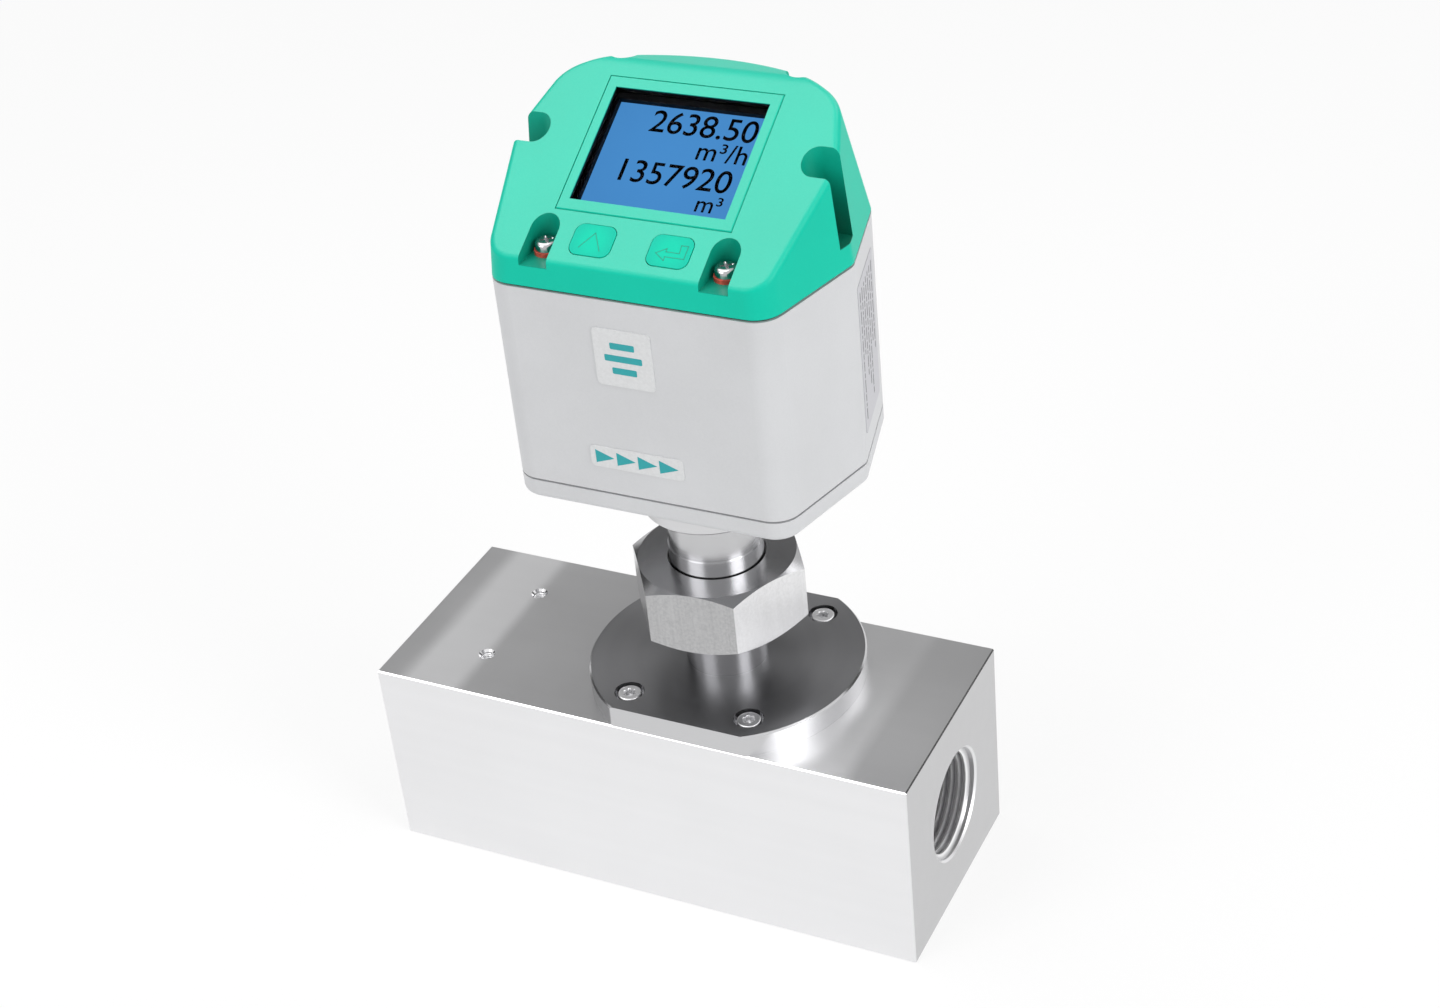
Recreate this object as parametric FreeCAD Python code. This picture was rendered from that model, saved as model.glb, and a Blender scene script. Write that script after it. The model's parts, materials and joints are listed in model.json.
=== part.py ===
import FreeCAD, Part
import math
import os

V = FreeCAD.Vector

# Thermal mass flow meter, millimetres.
# Origin: middle of the block's underside. +X is the flow direction, +Y the back, +Z up.

# General fits
SLIDE_FIT = 0.05            # radial clearance of round pieces that turn or slide in each other
FACE_GAP = 0.05             # clearance between faces that move past each other
SEAT_GAP = 0.15             # clearance all round a piece that drops into a moulded recess

# Measuring block
BLOCK_LENGTH = 135.0
BLOCK_WIDTH = 55.0
BLOCK_HEIGHT = 50.0
BLOCK_EDGE = 0.3            # chamfer on the outer edges
PORT_DIA = 26.44            # G 3/4 pipe thread, major diameter
PORT_DEPTH = 18.0
PORT_MOUTH = 0.5            # countersink outside the thread, on the radius
FLOW_DIA = 21.6
SENSOR_FROM_OUTLET = 55.0   # sensor axis to the outlet face
TAG_HOLE_DIA = 3.0          # two tapped holes on the inlet end of the top face
TAG_HOLE_DEPTH = 8.0
TAG_HOLE_MOUTH = 0.5        # countersink, on the radius
TAG_HOLE_SPACING = 26.0
TAG_HOLE_FROM_INLET = 22.0

# Sensor flange with its threaded collar
FLANGE_DIA = 64.4
FLANGE_THICKNESS = 5.4
FLANGE_EDGE = 0.4
FLANGE_SCREW_FROM_RIM = 6.55    # screw axis inside the flange's rim
FLANGE_SCREW_FROM_FLAT = 6.7    # screw axis inside the flats
SPIGOT_DIA = 24.0
SPIGOT_DEPTH = 5.0
SPIGOT_FLOOR_GAP = 0.3
FLANGE_RING_DIA = 34.0      # mean diameter of the flange seal
FLANGE_RING_SECTION = 1.8
NECK_DIA = 18.8
COLLAR_DIA = 26.44          # G 3/4 major diameter
COLLAR_LENGTH = 6.5
COLLAR_EDGE = 0.8
FLANGE_SCREW_DIA = 3.0
FLANGE_SCREW_LENGTH = 10.0
FLANGE_HEAD_DIA = 5.5
FLANGE_HEAD_HEIGHT = 3.0
FLANGE_SINK_SIDE = 0.7      # room beside a screw head
FLANGE_SINK_OVER = 0.3      # head below the flange's top
HEX_KEY = 2.5               # socket across flats
HEX_KEY_DEPTH = 1.4

# Union nut
NUT_ABOVE_FLANGE = 12.8
NUT_FLATS = 36.0
NUT_HEIGHT = 15.5
NUT_LIP = 2.2
NUT_LIP_GAP = 0.4           # lip to the stem, on the radius
NUT_CHAMFER_ANGLE = 30.0
NUT_CORNER_ANGLE = 5.0      # where the tightened nut's first corner points
SLIP_RING_THICKNESS = 1.0
SLIP_RING_INSET = 0.32      # inside the collar's diameter, on the radius

# Sensor stem and probe
STEM_DIA = 21.0
STEM_STEP = 0.3             # slightly thicker length in the nut's mouth, on the radius
STEM_STEP_ABOVE_NUT = 3.9
SHOULDER_INSET = 1.22       # inside the collar's diameter, on the radius
SHOULDER_THICKNESS = 3.0
STEM_TAIL_STEP = 2.5        # thinner length that passes through the base plate, on the radius
PROBE_DIA = 12.0
PROBE_WALL = 2.0
PROBE_RING_SECTION = 1.1
PROBE_RING_GROOVE = 1.5     # groove width
PROBE_RING_FROM_TOP = 10.0  # upper probe seal below the shoulder
PROBE_RING_PITCH = 7.0
PROBE_RING_COUNT = 2
PROBE_BORE_GAP = 0.3        # probe to the block's own hole, on the radius
GUARD_STEP = 1.0            # guard wider than the stem's bore, on the radius
GUARD_END_BELOW_FLOW_AXIS = 8.0
GUARD_TOP_ABOVE_FLOW_AXIS = 11.0
GUARD_PLUG_LENGTH = 5.0
GUARD_EDGE = 0.8
GUARD_SLOT_WIDTH = 5.0
GUARD_SLOT_LENGTH = 12.0
ELEMENT_DIA = 1.5
ELEMENT_SPACING = 4.4       # heated element behind the reference element
ELEMENT_LENGTH = 15.5
LEAD_DIA = 3.6

# Head outline: a long hexagon seen from above
HEAD_DEPTH = 54.5           # front face to back face
HEAD_FRONT_WIDTH = 63.2     # sharp corner to sharp corner
HEAD_WIDTH = 76.8           # across the two side corners
HEAD_CORNER_RADIUS = 6.0
HEAD_SIDE_RADIUS = 3.5
HEAD_INNER_RADIUS = 1.0     # least radius of the outline inside the wall
HEAD_WALL = 2.6

# Neck collar and base plate
NECK_ABOVE_NUT = 14.4       # gap from the nut to the neck collar
NECK_LENGTH = 11.7
NECK_OUTER_DIA = 30.4
NECK_EDGE = 0.5
NECK_SOCKET_DEPTH = 3.0     # the stem's full diameter enters this far
BASE_THICKNESS = 4.6
BASE_EDGE = 1.5
LOCK_NUT_FLATS = 24.0
LOCK_NUT_HEIGHT = 5.0
STEM_ABOVE_LOCK_NUT = 1.5
BASE_GASKET = 0.5
BASE_GASKET_INSET = 0.9
BASE_GASKET_WIDTH = 1.5
BASE_SCREW_DIA = 3.0
BASE_SCREW_HEAD_DIA = 5.6
BASE_SCREW_HEAD_HEIGHT = 1.7
BASE_SCREW_LENGTH = 12.0

# Housing
HOUSING_HEIGHT = 46.8
COLUMN_RADIUS = 4.0         # screw columns inside the housing
SCREW_FROM_FACE = 6.85      # front and back cover screws inside the face
SCREW_FROM_CORNER = 11.3    # and inside the face's sharp corner
SIDE_SCREW_FROM_CORNER = 6.5
INSERT_DIA = 4.2
INSERT_LENGTH = 6.0
COVER_GASKET = 0.6
COVER_GASKET_INSET = 0.7
COVER_GASKET_WIDTH = 1.6

# Cover
COVER_TILT = 30.0           # slope of the display face
DISPLAY_FROM_FRONT = 25.55  # display centre behind the front face
DISPLAY_CENTRE_RISE = 20.9  # display centre above the cover's lower edge
RIDGE_ABOVE_CENTRE = 20.9   # display centre to the ridge, up the sloping face
RIDGE_RADIUS = 6.0
BACK_SLOPE = 5.0            # fall of the roof behind the ridge
COVER_LOFT_HEIGHT = 36.0    # height over which the outline draws in by the next six sizes
DRAW_FRONT = 1.85
DRAW_CROWN = 4.1           # at the middle of the back
DRAW_BACK = 1.45
DRAW_FRONT_WIDTH = 5.6
DRAW_BACK_WIDTH = 11.2
DRAW_WIDTH = 6.2
CROWN_RADIUS = 46.0         # plan radius to which the back bows
SHOULDER_RADIUS = 14.0      # between the bowed back and the sides
COVER_EDGE = 1.5
COVER_WALL = 2.4
COVER_SHELF = 0.8           # wall left under the window frame
POCKET_GAP = 0.4            # pocket to the washer, on the radius
POCKET_WALL = 1.8
POCKET_LEDGE = 4.7          # thickness under the screw heads
COVER_SCREW_DIA = 2.5
COVER_SCREW_GAP = 0.2       # hole to the screw, on the radius
COVER_SCREW_LENGTH = 10.5
COVER_HEAD_DIA = 5.0
COVER_HEAD_HEIGHT = 2.1
CROSS_WIDTH = 0.8
CROSS_LENGTH = 2.9
CROSS_DEPTH = 1.0
WASHER_RIM = 0.3            # washer beyond the screw head, on the radius
WASHER_THICKNESS = 0.9

# Display, measured in the sloping face
FRAME_WIDTH = 39.6
FRAME_HEIGHT = 33.2
FRAME_BORDER_X = 2.2        # frame beside the window
FRAME_BORDER_Y = 2.6        # frame above and below the window
FRAME_PROUD = 0.15
FRAME_EDGE = 0.2
FRAME_GAP = 0.15            # fine groove all round the frame
WINDOW_LIP = 0.6            # frame in front of the pane
PANE_BORDER = 0.9           # pane beyond the window on each side
PANE_THICKNESS = 1.6
PANE_SEAT_GAP = 0.2         # pane to the cover's shelf
SHROUD_MASK_X = 0.35        # black edge seen inside the window, at each side
SHROUD_MASK_Y = 1.2         # and above and below
SHROUD_FLANGE = 0.4
SHROUD_BORDER = 0.6         # cover opening outside the window
LCD_BORDER_X = 1.6          # display module beyond the window, at each side
LCD_BORDER_Y = 0.8          # and above and below
LCD_THICKNESS = 4.0
BOARD_THICKNESS = 1.6
DISPLAY_BOARD_RIM = 2.3     # board beyond the boss centres
DISPLAY_TOP_GAP = 2.54      # board to the back pockets
DISPLAY_WAIST_GAP = 1.48    # wide part of the board to the front pockets
DISPLAY_TONGUE_RIM = 1.0    # tongue beyond the keys
DISPLAY_BOSS_DIA = 4.4
DISPLAY_BOSS_GAP = 0.6      # boss to the display module
DISPLAY_BOSS_FROM_TOP = 3.0     # boss centres inside the board's upper edge
DISPLAY_BOSS_FROM_WAIST = 4.0   # and inside the end of its wide part
DISPLAY_SCREW_DIA = 2.0
DISPLAY_SCREW_HEAD_DIA = 3.8
DISPLAY_SCREW_HEAD = 1.4
DISPLAY_SCREW_GRIP = 3.4    # length inside the boss

# Keys, measured in the sloping face
KEY_WIDTH = 9.2
KEY_HEIGHT = 7.3
KEY_RADIUS = 2.0
KEY_POCKET_GAP = 1.1        # key's flange to the front pockets
KEY_FRAME_GAP = 2.65        # key to the window frame
KEY_PROUD = 0.15
KEY_FLANGE = 0.9            # flange beyond the key on each side
KEY_FLANGE_THICKNESS = 0.8
KEY_STEM_DIA = 3.4
KEY_TRAVEL = 0.5
SWITCH_SIZE = 5.0
SWITCH_HEIGHT = 1.6

# Main board
BOARD_WIDTH = 46.0
BOARD_COLUMN_GAP = 0.6      # board to the screw columns
BOARD_RADIUS = 2.0
BOARD_ABOVE_BASE = 12.0
BOARD_HOLE_FROM_SIDE = 4.5
BOARD_HOLE_FROM_FRONT = 3.2
SPACER_FLATS = 5.5
BOARD_SCREW_DIA = 3.0
BOARD_SCREW_HEAD_DIA = 5.5
BOARD_SCREW_HEAD = 2.0
BOARD_SCREW_GRIP = 5.0
RIBBON_WIDTH = 12.0
RIBBON_THICKNESS = 1.0
RIBBON_BEHIND_CENTRE = 8.9  # ribbon behind the display centre
PLUG_WIDTH = 14.0
PLUG_DEPTH = 4.0
PLUG_HEIGHT = 4.0

# M12 sockets on the back face
SOCKET_DIA = 12.0
SOCKET_COLUMN_GAP = 0.1     # lock nut to the screw columns
SOCKET_ABOVE_BASE = 21.6
SOCKET_OUTSIDE = 12.5
SOCKET_BORE_DIA = 8.6
SOCKET_BORE_DEPTH = 9.0
SOCKET_FLATS = 14.0
SOCKET_FLANGE = 2.5
SOCKET_WASHER = 0.8
SOCKET_NUT_HEIGHT = 2.5
SOCKET_TAIL = 1.5           # barrel behind the lock nut
CONTACT_DIA = 1.0
CONTACT_LENGTH = 6.5
CONTACT_CIRCLE_DIA = 5.2
CONTACT_COUNT = 4           # on the circle, with one more in the middle

# Heights and places that follow from the sizes above
SENSOR_X = BLOCK_LENGTH / 2 - SENSOR_FROM_OUTLET
FLANGE_SCREW_Y = BLOCK_WIDTH / 2 - FLANGE_SCREW_FROM_FLAT
FLANGE_SCREW_X = math.sqrt((FLANGE_DIA / 2 - FLANGE_SCREW_FROM_RIM) ** 2 - FLANGE_SCREW_Y ** 2)
FLANGE_SINK_DIA = FLANGE_HEAD_DIA + 2 * FLANGE_SINK_SIDE
FLANGE_SINK_DEPTH = FLANGE_HEAD_HEIGHT + FLANGE_SINK_OVER
STEM_STEP_DIA = STEM_DIA + 2 * STEM_STEP
STEM_TAIL_DIA = STEM_DIA - 2 * STEM_TAIL_STEP
STEM_BORE_DIA = PROBE_DIA - 2 * PROBE_WALL
GUARD_DIA = STEM_BORE_DIA + 2 * GUARD_STEP
SHOULDER_DIA = COLLAR_DIA - 2 * SHOULDER_INSET
SLIP_RING_DIA = COLLAR_DIA - 2 * SLIP_RING_INSET
NUT_LIP_BORE = STEM_STEP_DIA + 2 * NUT_LIP_GAP
FLOW_Z = BLOCK_HEIGHT / 2
FLANGE_TOP = BLOCK_HEIGHT + FLANGE_THICKNESS
NUT_BOTTOM = FLANGE_TOP + NUT_ABOVE_FLANGE
NUT_TOP = NUT_BOTTOM + NUT_HEIGHT
LIP_Z = NUT_TOP - NUT_LIP
SLIP_RING_TOP = LIP_Z - FACE_GAP
SLIP_RING_BOTTOM = SLIP_RING_TOP - SLIP_RING_THICKNESS
SHOULDER_TOP = SLIP_RING_BOTTOM - FACE_GAP
SHOULDER_BOTTOM = SHOULDER_TOP - SHOULDER_THICKNESS
COLLAR_TOP = SHOULDER_BOTTOM - FACE_GAP
COLLAR_BOTTOM = COLLAR_TOP - COLLAR_LENGTH
PROBE_BOTTOM = FLOW_Z + GUARD_TOP_ABOVE_FLOW_AXIS
NECK_TIP = NUT_TOP + NECK_ABOVE_NUT
STEM_SEAT = NECK_TIP + NECK_SOCKET_DEPTH
BASE_BOTTOM = NECK_TIP + NECK_LENGTH
BASE_TOP = BASE_BOTTOM + BASE_THICKNESS
STEM_TOP = BASE_TOP + LOCK_NUT_HEIGHT + STEM_ABOVE_LOCK_NUT
HOUSING_BOTTOM = BASE_TOP + BASE_GASKET
HOUSING_TOP = HOUSING_BOTTOM + HOUSING_HEIGHT
COVER_BOTTOM = HOUSING_TOP + COVER_GASKET
LEDGE_Z = COVER_BOTTOM + POCKET_LEDGE
SCREW_X = HEAD_FRONT_WIDTH / 2 - SCREW_FROM_CORNER
SCREW_Y = HEAD_DEPTH / 2 - SCREW_FROM_FACE
SIDE_SCREW_X = HEAD_WIDTH / 2 - SIDE_SCREW_FROM_CORNER
COVER_SCREW_HOLE = COVER_SCREW_DIA + 2 * COVER_SCREW_GAP
WASHER_DIA = COVER_HEAD_DIA + 2 * WASHER_RIM
POCKET_RADIUS = WASHER_DIA / 2 + POCKET_GAP
POCKET_OUTER = POCKET_RADIUS + POCKET_WALL
DISPLAY_CENTRE_Y = DISPLAY_FROM_FRONT - HEAD_DEPTH / 2
DISPLAY_Z = COVER_BOTTOM + DISPLAY_CENTRE_RISE
SLOPE_COS = math.cos(math.radians(COVER_TILT))
SLOPE_SIN = math.sin(math.radians(COVER_TILT))
RIDGE_Y = DISPLAY_CENTRE_Y + RIDGE_ABOVE_CENTRE * SLOPE_COS
RIDGE_Z = DISPLAY_Z + RIDGE_ABOVE_CENTRE * SLOPE_SIN
BOARD_BOTTOM = BASE_TOP + BOARD_ABOVE_BASE
BOARD_TOP = BOARD_BOTTOM + BOARD_THICKNESS
BOARD_DEPTH = 2 * (SCREW_Y - COLUMN_RADIUS - BOARD_COLUMN_GAP)
BOARD_HOLE_X = BOARD_WIDTH - 2 * BOARD_HOLE_FROM_SIDE
BOARD_HOLE_Y = BOARD_DEPTH - 2 * BOARD_HOLE_FROM_FRONT
WINDOW_WIDTH = FRAME_WIDTH - 2 * FRAME_BORDER_X
WINDOW_HEIGHT = FRAME_HEIGHT - 2 * FRAME_BORDER_Y
SHROUD_WIDTH = WINDOW_WIDTH - 2 * SHROUD_MASK_X
SHROUD_HEIGHT = WINDOW_HEIGHT - 2 * SHROUD_MASK_Y
LCD_WIDTH = WINDOW_WIDTH + 2 * LCD_BORDER_X
LCD_HEIGHT = WINDOW_HEIGHT + 2 * LCD_BORDER_Y
PANE_BACK = WINDOW_LIP + PANE_THICKNESS
FRAME_DEPTH = PANE_BACK + PANE_SEAT_GAP
COVER_ROOF = FRAME_DEPTH + COVER_SHELF
LCD_FACE = COVER_ROOF + SHROUD_FLANGE
DISPLAY_BOARD_FACE = LCD_FACE + LCD_THICKNESS
DISPLAY_BOARD_BACK = DISPLAY_BOARD_FACE + BOARD_THICKNESS
SWITCH_FACE = DISPLAY_BOARD_FACE - SWITCH_HEIGHT
KEY_X = SCREW_X - POCKET_OUTER - KEY_POCKET_GAP - KEY_FLANGE - KEY_WIDTH / 2
KEY_BELOW_CENTRE = FRAME_HEIGHT / 2 + KEY_FRAME_GAP + KEY_HEIGHT / 2
DISPLAY_BOSS_X = LCD_WIDTH / 2 + DISPLAY_BOSS_GAP + DISPLAY_BOSS_DIA / 2
DISPLAY_BOARD_WIDTH = 2 * (DISPLAY_BOSS_X + DISPLAY_BOARD_RIM)
POCKET_EDGE_Y = SCREW_Y - POCKET_OUTER
DISPLAY_TOP_Y = POCKET_EDGE_Y - DISPLAY_TOP_GAP - DISPLAY_CENTRE_Y - DISPLAY_BOARD_BACK * SLOPE_SIN
DISPLAY_WAIST_Y = POCKET_EDGE_Y - DISPLAY_WAIST_GAP + DISPLAY_CENTRE_Y + DISPLAY_BOARD_FACE * SLOPE_SIN
DISPLAY_BOARD_TOP = DISPLAY_TOP_Y / SLOPE_COS
DISPLAY_BOARD_WAIST = DISPLAY_WAIST_Y / SLOPE_COS
DISPLAY_BOSS_TOP = DISPLAY_BOARD_TOP - DISPLAY_BOSS_FROM_TOP
DISPLAY_BOSS_BOTTOM = DISPLAY_BOARD_WAIST - DISPLAY_BOSS_FROM_WAIST
DISPLAY_TONGUE_WIDTH = 2 * KEY_X + KEY_WIDTH + 2 * DISPLAY_TONGUE_RIM
DISPLAY_TONGUE_END = KEY_BELOW_CENTRE + KEY_HEIGHT / 2 + DISPLAY_TONGUE_RIM
RIBBON_Y = DISPLAY_CENTRE_Y + RIBBON_BEHIND_CENTRE
SOCKET_X = SCREW_X - COLUMN_RADIUS - SOCKET_COLUMN_GAP - SOCKET_FLATS / 2
BACK_FACE = HEAD_DEPTH / 2
BACK_INSIDE = BACK_FACE - HEAD_WALL
FAR = 2 * HEAD_WIDTH        # reaches past the head in any direction


def cylinder(dia, bottom, top, x=0.0, y=0.0):
    """Upright cylinder between two heights."""
    return Part.makeCylinder(dia / 2, top - bottom, V(x, y, bottom))


def revolved(profile):
    """Solid of revolution about the Z axis from (radius, height) corners."""
    points = [V(radius, 0, height) for radius, height in profile]
    face = Part.Face(Part.makePolygon(points + points[:1]))
    return face.revolve(V(0, 0, 0), V(0, 0, 1), 360)


def hexagon(flats, bottom, top, x=0.0, y=0.0, corner_angle=30.0):
    """Upright hexagonal bar; at the usual corner angle two flats face +X and -X."""
    radius = flats / math.sqrt(3)
    angles = [math.radians(corner_angle + 60 * step) for step in range(6)]
    points = [V(x + radius * math.cos(a), y + radius * math.sin(a), bottom) for a in angles]
    face = Part.Face(Part.makePolygon(points + points[:1]))
    return face.extrude(V(0, 0, top - bottom))


def box(x_size, y_size, bottom, top, x=0.0, y=0.0):
    """Upright box centred on (x, y)."""
    return Part.makeBox(x_size, y_size, top - bottom, V(x - x_size / 2, y - y_size / 2, bottom))


def ring_seal(mean_dia, section, height, x=0.0, y=0.0):
    """Round-section sealing ring lying flat."""
    return Part.makeTorus(mean_dia / 2, section / 2, V(x, y, height))


def cut_all(shape, tools):
    """Shape with every tool cut away."""
    for tool in tools:
        shape = shape.cut(tool)
    return shape


def fuse_all(shapes):
    """One solid from shapes that run into each other."""
    result = shapes[0]
    for shape in shapes[1:]:
        result = result.fuse(shape)
    return result.removeSplitter()


def corner_arc(before, corner, after, radius):
    """Start, middle and end of the arc that rounds one corner of an outline."""
    back = (before - corner).normalize()
    ahead = (after - corner).normalize()
    half = back.getAngle(ahead) / 2
    middle = (back + ahead).normalize()
    reach = radius / math.tan(half)
    bulge = radius / math.sin(half) - radius
    return corner + back * reach, corner + middle * bulge, corner + ahead * reach


def corner_arcs(corners, radii, height):
    """Arcs that round the corners of a level outline, each to its own radius."""
    flat = [V(x, y, height) for x, y in corners]
    return [corner_arc(flat[index - 1], corner, flat[(index + 1) % len(flat)], radii[index])
            for index, corner in enumerate(flat)]


def joined_wire(arcs, bows):
    """Closed wire of arcs; runs between them are straight, or bow through a middle point."""
    edges = []
    for index, (start, middle, end) in enumerate(arcs):
        following = arcs[(index + 1) % len(arcs)][0]
        edges.append(Part.Arc(start, middle, end).toShape())
        if index in bows:
            edges.append(Part.Arc(end, bows[index], following).toShape())
        else:
            edges.append(Part.LineSegment(end, following).toShape())
    return Part.Wire(edges)


def rounded_wire(corners, radii, height):
    """Closed level wire through the corners, each rounded to its own radius."""
    return joined_wire(corner_arcs(corners, radii, height), {})


def inset_corners(corners, inset):
    """Corners of a counter-clockwise outline with every side moved inwards."""
    moved = []
    for index, (u, v) in enumerate(corners):
        u0, v0 = corners[index - 1]
        u2, v2 = corners[(index + 1) % len(corners)]
        before = V(u - u0, v - v0, 0).normalize()
        after = V(u2 - u, v2 - v, 0).normalize()
        turn = before.x * after.y - before.y * after.x
        cosine = before.dot(after)
        along = inset * (1 - cosine) / turn
        moved.append((u - before.x * along - before.y * inset, v - before.y * along + before.x * inset))
    return moved


def six_corners(front, back, front_width, back_width, width):
    """Counter-clockwise corners of the long hexagon, from front left round to left."""
    right = [(front_width / 2, -front), (width / 2, 0.0), (back_width / 2, back)]
    left = [(-u, v) for u, v in reversed(right)]
    return [left[2]] + right + left[:2]


def head_radii(inset):
    """Corner radii of the head outline, in the order of its corners."""
    corner = max(HEAD_CORNER_RADIUS - inset, HEAD_INNER_RADIUS)
    side = max(HEAD_SIDE_RADIUS - inset, HEAD_INNER_RADIUS)
    return [corner, corner, side] * 2


def head_wire(inset, height):
    """Head outline at one height, moved inwards by the inset."""
    half = HEAD_DEPTH / 2
    corners = six_corners(half, half, HEAD_FRONT_WIDTH, HEAD_FRONT_WIDTH, HEAD_WIDTH)
    return rounded_wire(inset_corners(corners, inset), head_radii(inset), height)


def head_prism(inset, bottom, top):
    """Upright prism of the head outline."""
    return Part.Face(head_wire(inset, bottom)).extrude(V(0, 0, top - bottom))


def shoulder_arc(start, end, centre, bow_radius, radius):
    """Arc that leads from a straight side into a bowed back."""
    along = (end - start).normalize()
    inward = V(-along.y, along.x, 0)
    offset = start + inward * radius - centre
    lead = offset.dot(along)
    run = math.sqrt(lead ** 2 - offset.dot(offset) + (bow_radius - radius) ** 2) - lead
    middle = start + inward * radius + along * run
    outward = (middle - centre).normalize()
    halfway = (outward - inward).normalize()
    return middle - inward * radius, middle + halfway * radius, middle + outward * radius


def cover_wire(inset, height):
    """Outline that the cover draws in to at its loft height: bowed back, round shoulders."""
    half = HEAD_DEPTH / 2
    corners = six_corners(half - DRAW_FRONT, half - DRAW_BACK, HEAD_FRONT_WIDTH - DRAW_FRONT_WIDTH,
                          HEAD_FRONT_WIDTH - DRAW_BACK_WIDTH, HEAD_WIDTH - DRAW_WIDTH)
    corners = inset_corners(corners, inset)
    arcs = corner_arcs(corners, head_radii(inset), height)
    centre = V(0, half - DRAW_CROWN - CROWN_RADIUS, height)
    bow = CROWN_RADIUS - inset
    side, back = [V(x, y, height) for x, y in corners[2:4]]
    right = shoulder_arc(side, back, centre, bow, SHOULDER_RADIUS - inset)
    left = [V(-point.x, point.y, height) for point in reversed(right)]
    return joined_wire(arcs[:3] + [right, left] + arcs[5:], {3: centre + V(0, bow, 0)})


def roof_block(drop):
    """Everything under the sloping face and the roof behind the ridge, both lowered by drop."""
    rise = SLOPE_SIN / SLOPE_COS
    fall = math.tan(math.radians(BACK_SLOPE))
    front_drop = drop / SLOPE_COS
    back_drop = drop / math.cos(math.radians(BACK_SLOPE))
    shift = (front_drop - back_drop) / (rise + fall)
    ridge_y = RIDGE_Y + shift
    ridge_z = RIDGE_Z - back_drop - shift * fall
    front_z = ridge_z - (ridge_y + FAR) * rise
    back_z = ridge_z - (FAR - ridge_y) * fall
    low = front_z - FAR
    points = [(-FAR, low), (FAR, low), (FAR, back_z), (ridge_y, ridge_z), (-FAR, front_z)]
    outline = Part.makePolygon([V(-FAR, y, z) for y, z in points + points[:1]])
    block = Part.Face(outline).extrude(V(2 * FAR, 0, 0))
    ridge = [edge for edge in block.Edges if edge.BoundBox.ZMin > ridge_z - FACE_GAP]
    return block.makeFillet(RIDGE_RADIUS, ridge)


def on_face(shape):
    """Place a shape drawn flat, with its Z as height above the face, on the sloping display face."""
    turn = FreeCAD.Rotation(V(1, 0, 0), COVER_TILT)
    placed = shape.copy()
    placed.Placement = FreeCAD.Placement(V(0, DISPLAY_CENTRE_Y, DISPLAY_Z), turn).multiply(placed.Placement)
    return placed


def facing_back(shape, x, height):
    """Turn an upright shape so that its Z axis points out of the back face."""
    turn = FreeCAD.Rotation(V(1, 0, 0), -90)
    placed = shape.copy()
    placed.Placement = FreeCAD.Placement(V(x, 0, height), turn).multiply(placed.Placement)
    return placed


def cover_screw_places():
    """Screw centre and outward direction of each of the six cover screws."""
    places = []
    for side in (-1, 1):
        places.append((side * SCREW_X, -SCREW_Y, V(0, -1, 0)))
        places.append((side * SIDE_SCREW_X, 0.0, V(side, 0, 0)))
        places.append((side * SCREW_X, SCREW_Y, V(0, 1, 0)))
    return places


def corner_places(x_spacing, y_spacing):
    """Four corners of a rectangle centred on the axis."""
    return [(sx * x_spacing / 2, sy * y_spacing / 2) for sx in (-1, 1) for sy in (-1, 1)]


def u_prism(place, radius, bottom, top):
    """Upright slot shape, round at the screw and open towards the outside."""
    x, y, outward = place
    slot = cylinder(2 * radius, bottom, top, x, y)
    middle = V(x, y, 0) + outward * FAR / 2
    across = V(abs(outward.y), abs(outward.x), 0) * 2 * radius
    along = V(abs(outward.x), abs(outward.y), 0) * FAR
    size = across + along
    return slot.fuse(box(size.x, size.y, bottom, top, middle.x, middle.y))


def plate(width, height, radius, low, high, x=0.0, y=0.0):
    """Flat plate with rounded corners, between two heights."""
    corners = [(x - width / 2, y - height / 2), (x + width / 2, y - height / 2),
               (x + width / 2, y + height / 2), (x - width / 2, y + height / 2)]
    wire = rounded_wire(corners, [radius] * 4, low)
    return Part.Face(wire).extrude(V(0, 0, high - low))


def pan_screw(head_dia, head_height, dia, length, seat, x, y):
    """Pan-head screw standing upright with the underside of its head at the seat."""
    crown = head_height / 3
    head = cylinder(head_dia, seat, seat + head_height, x, y)
    rim = [edge for edge in head.Edges if edge.BoundBox.ZMin > seat + head_height / 2]
    head = head.makeFillet(crown, rim)
    return head.fuse(cylinder(dia, seat - length, seat, x, y)).removeSplitter()


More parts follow.
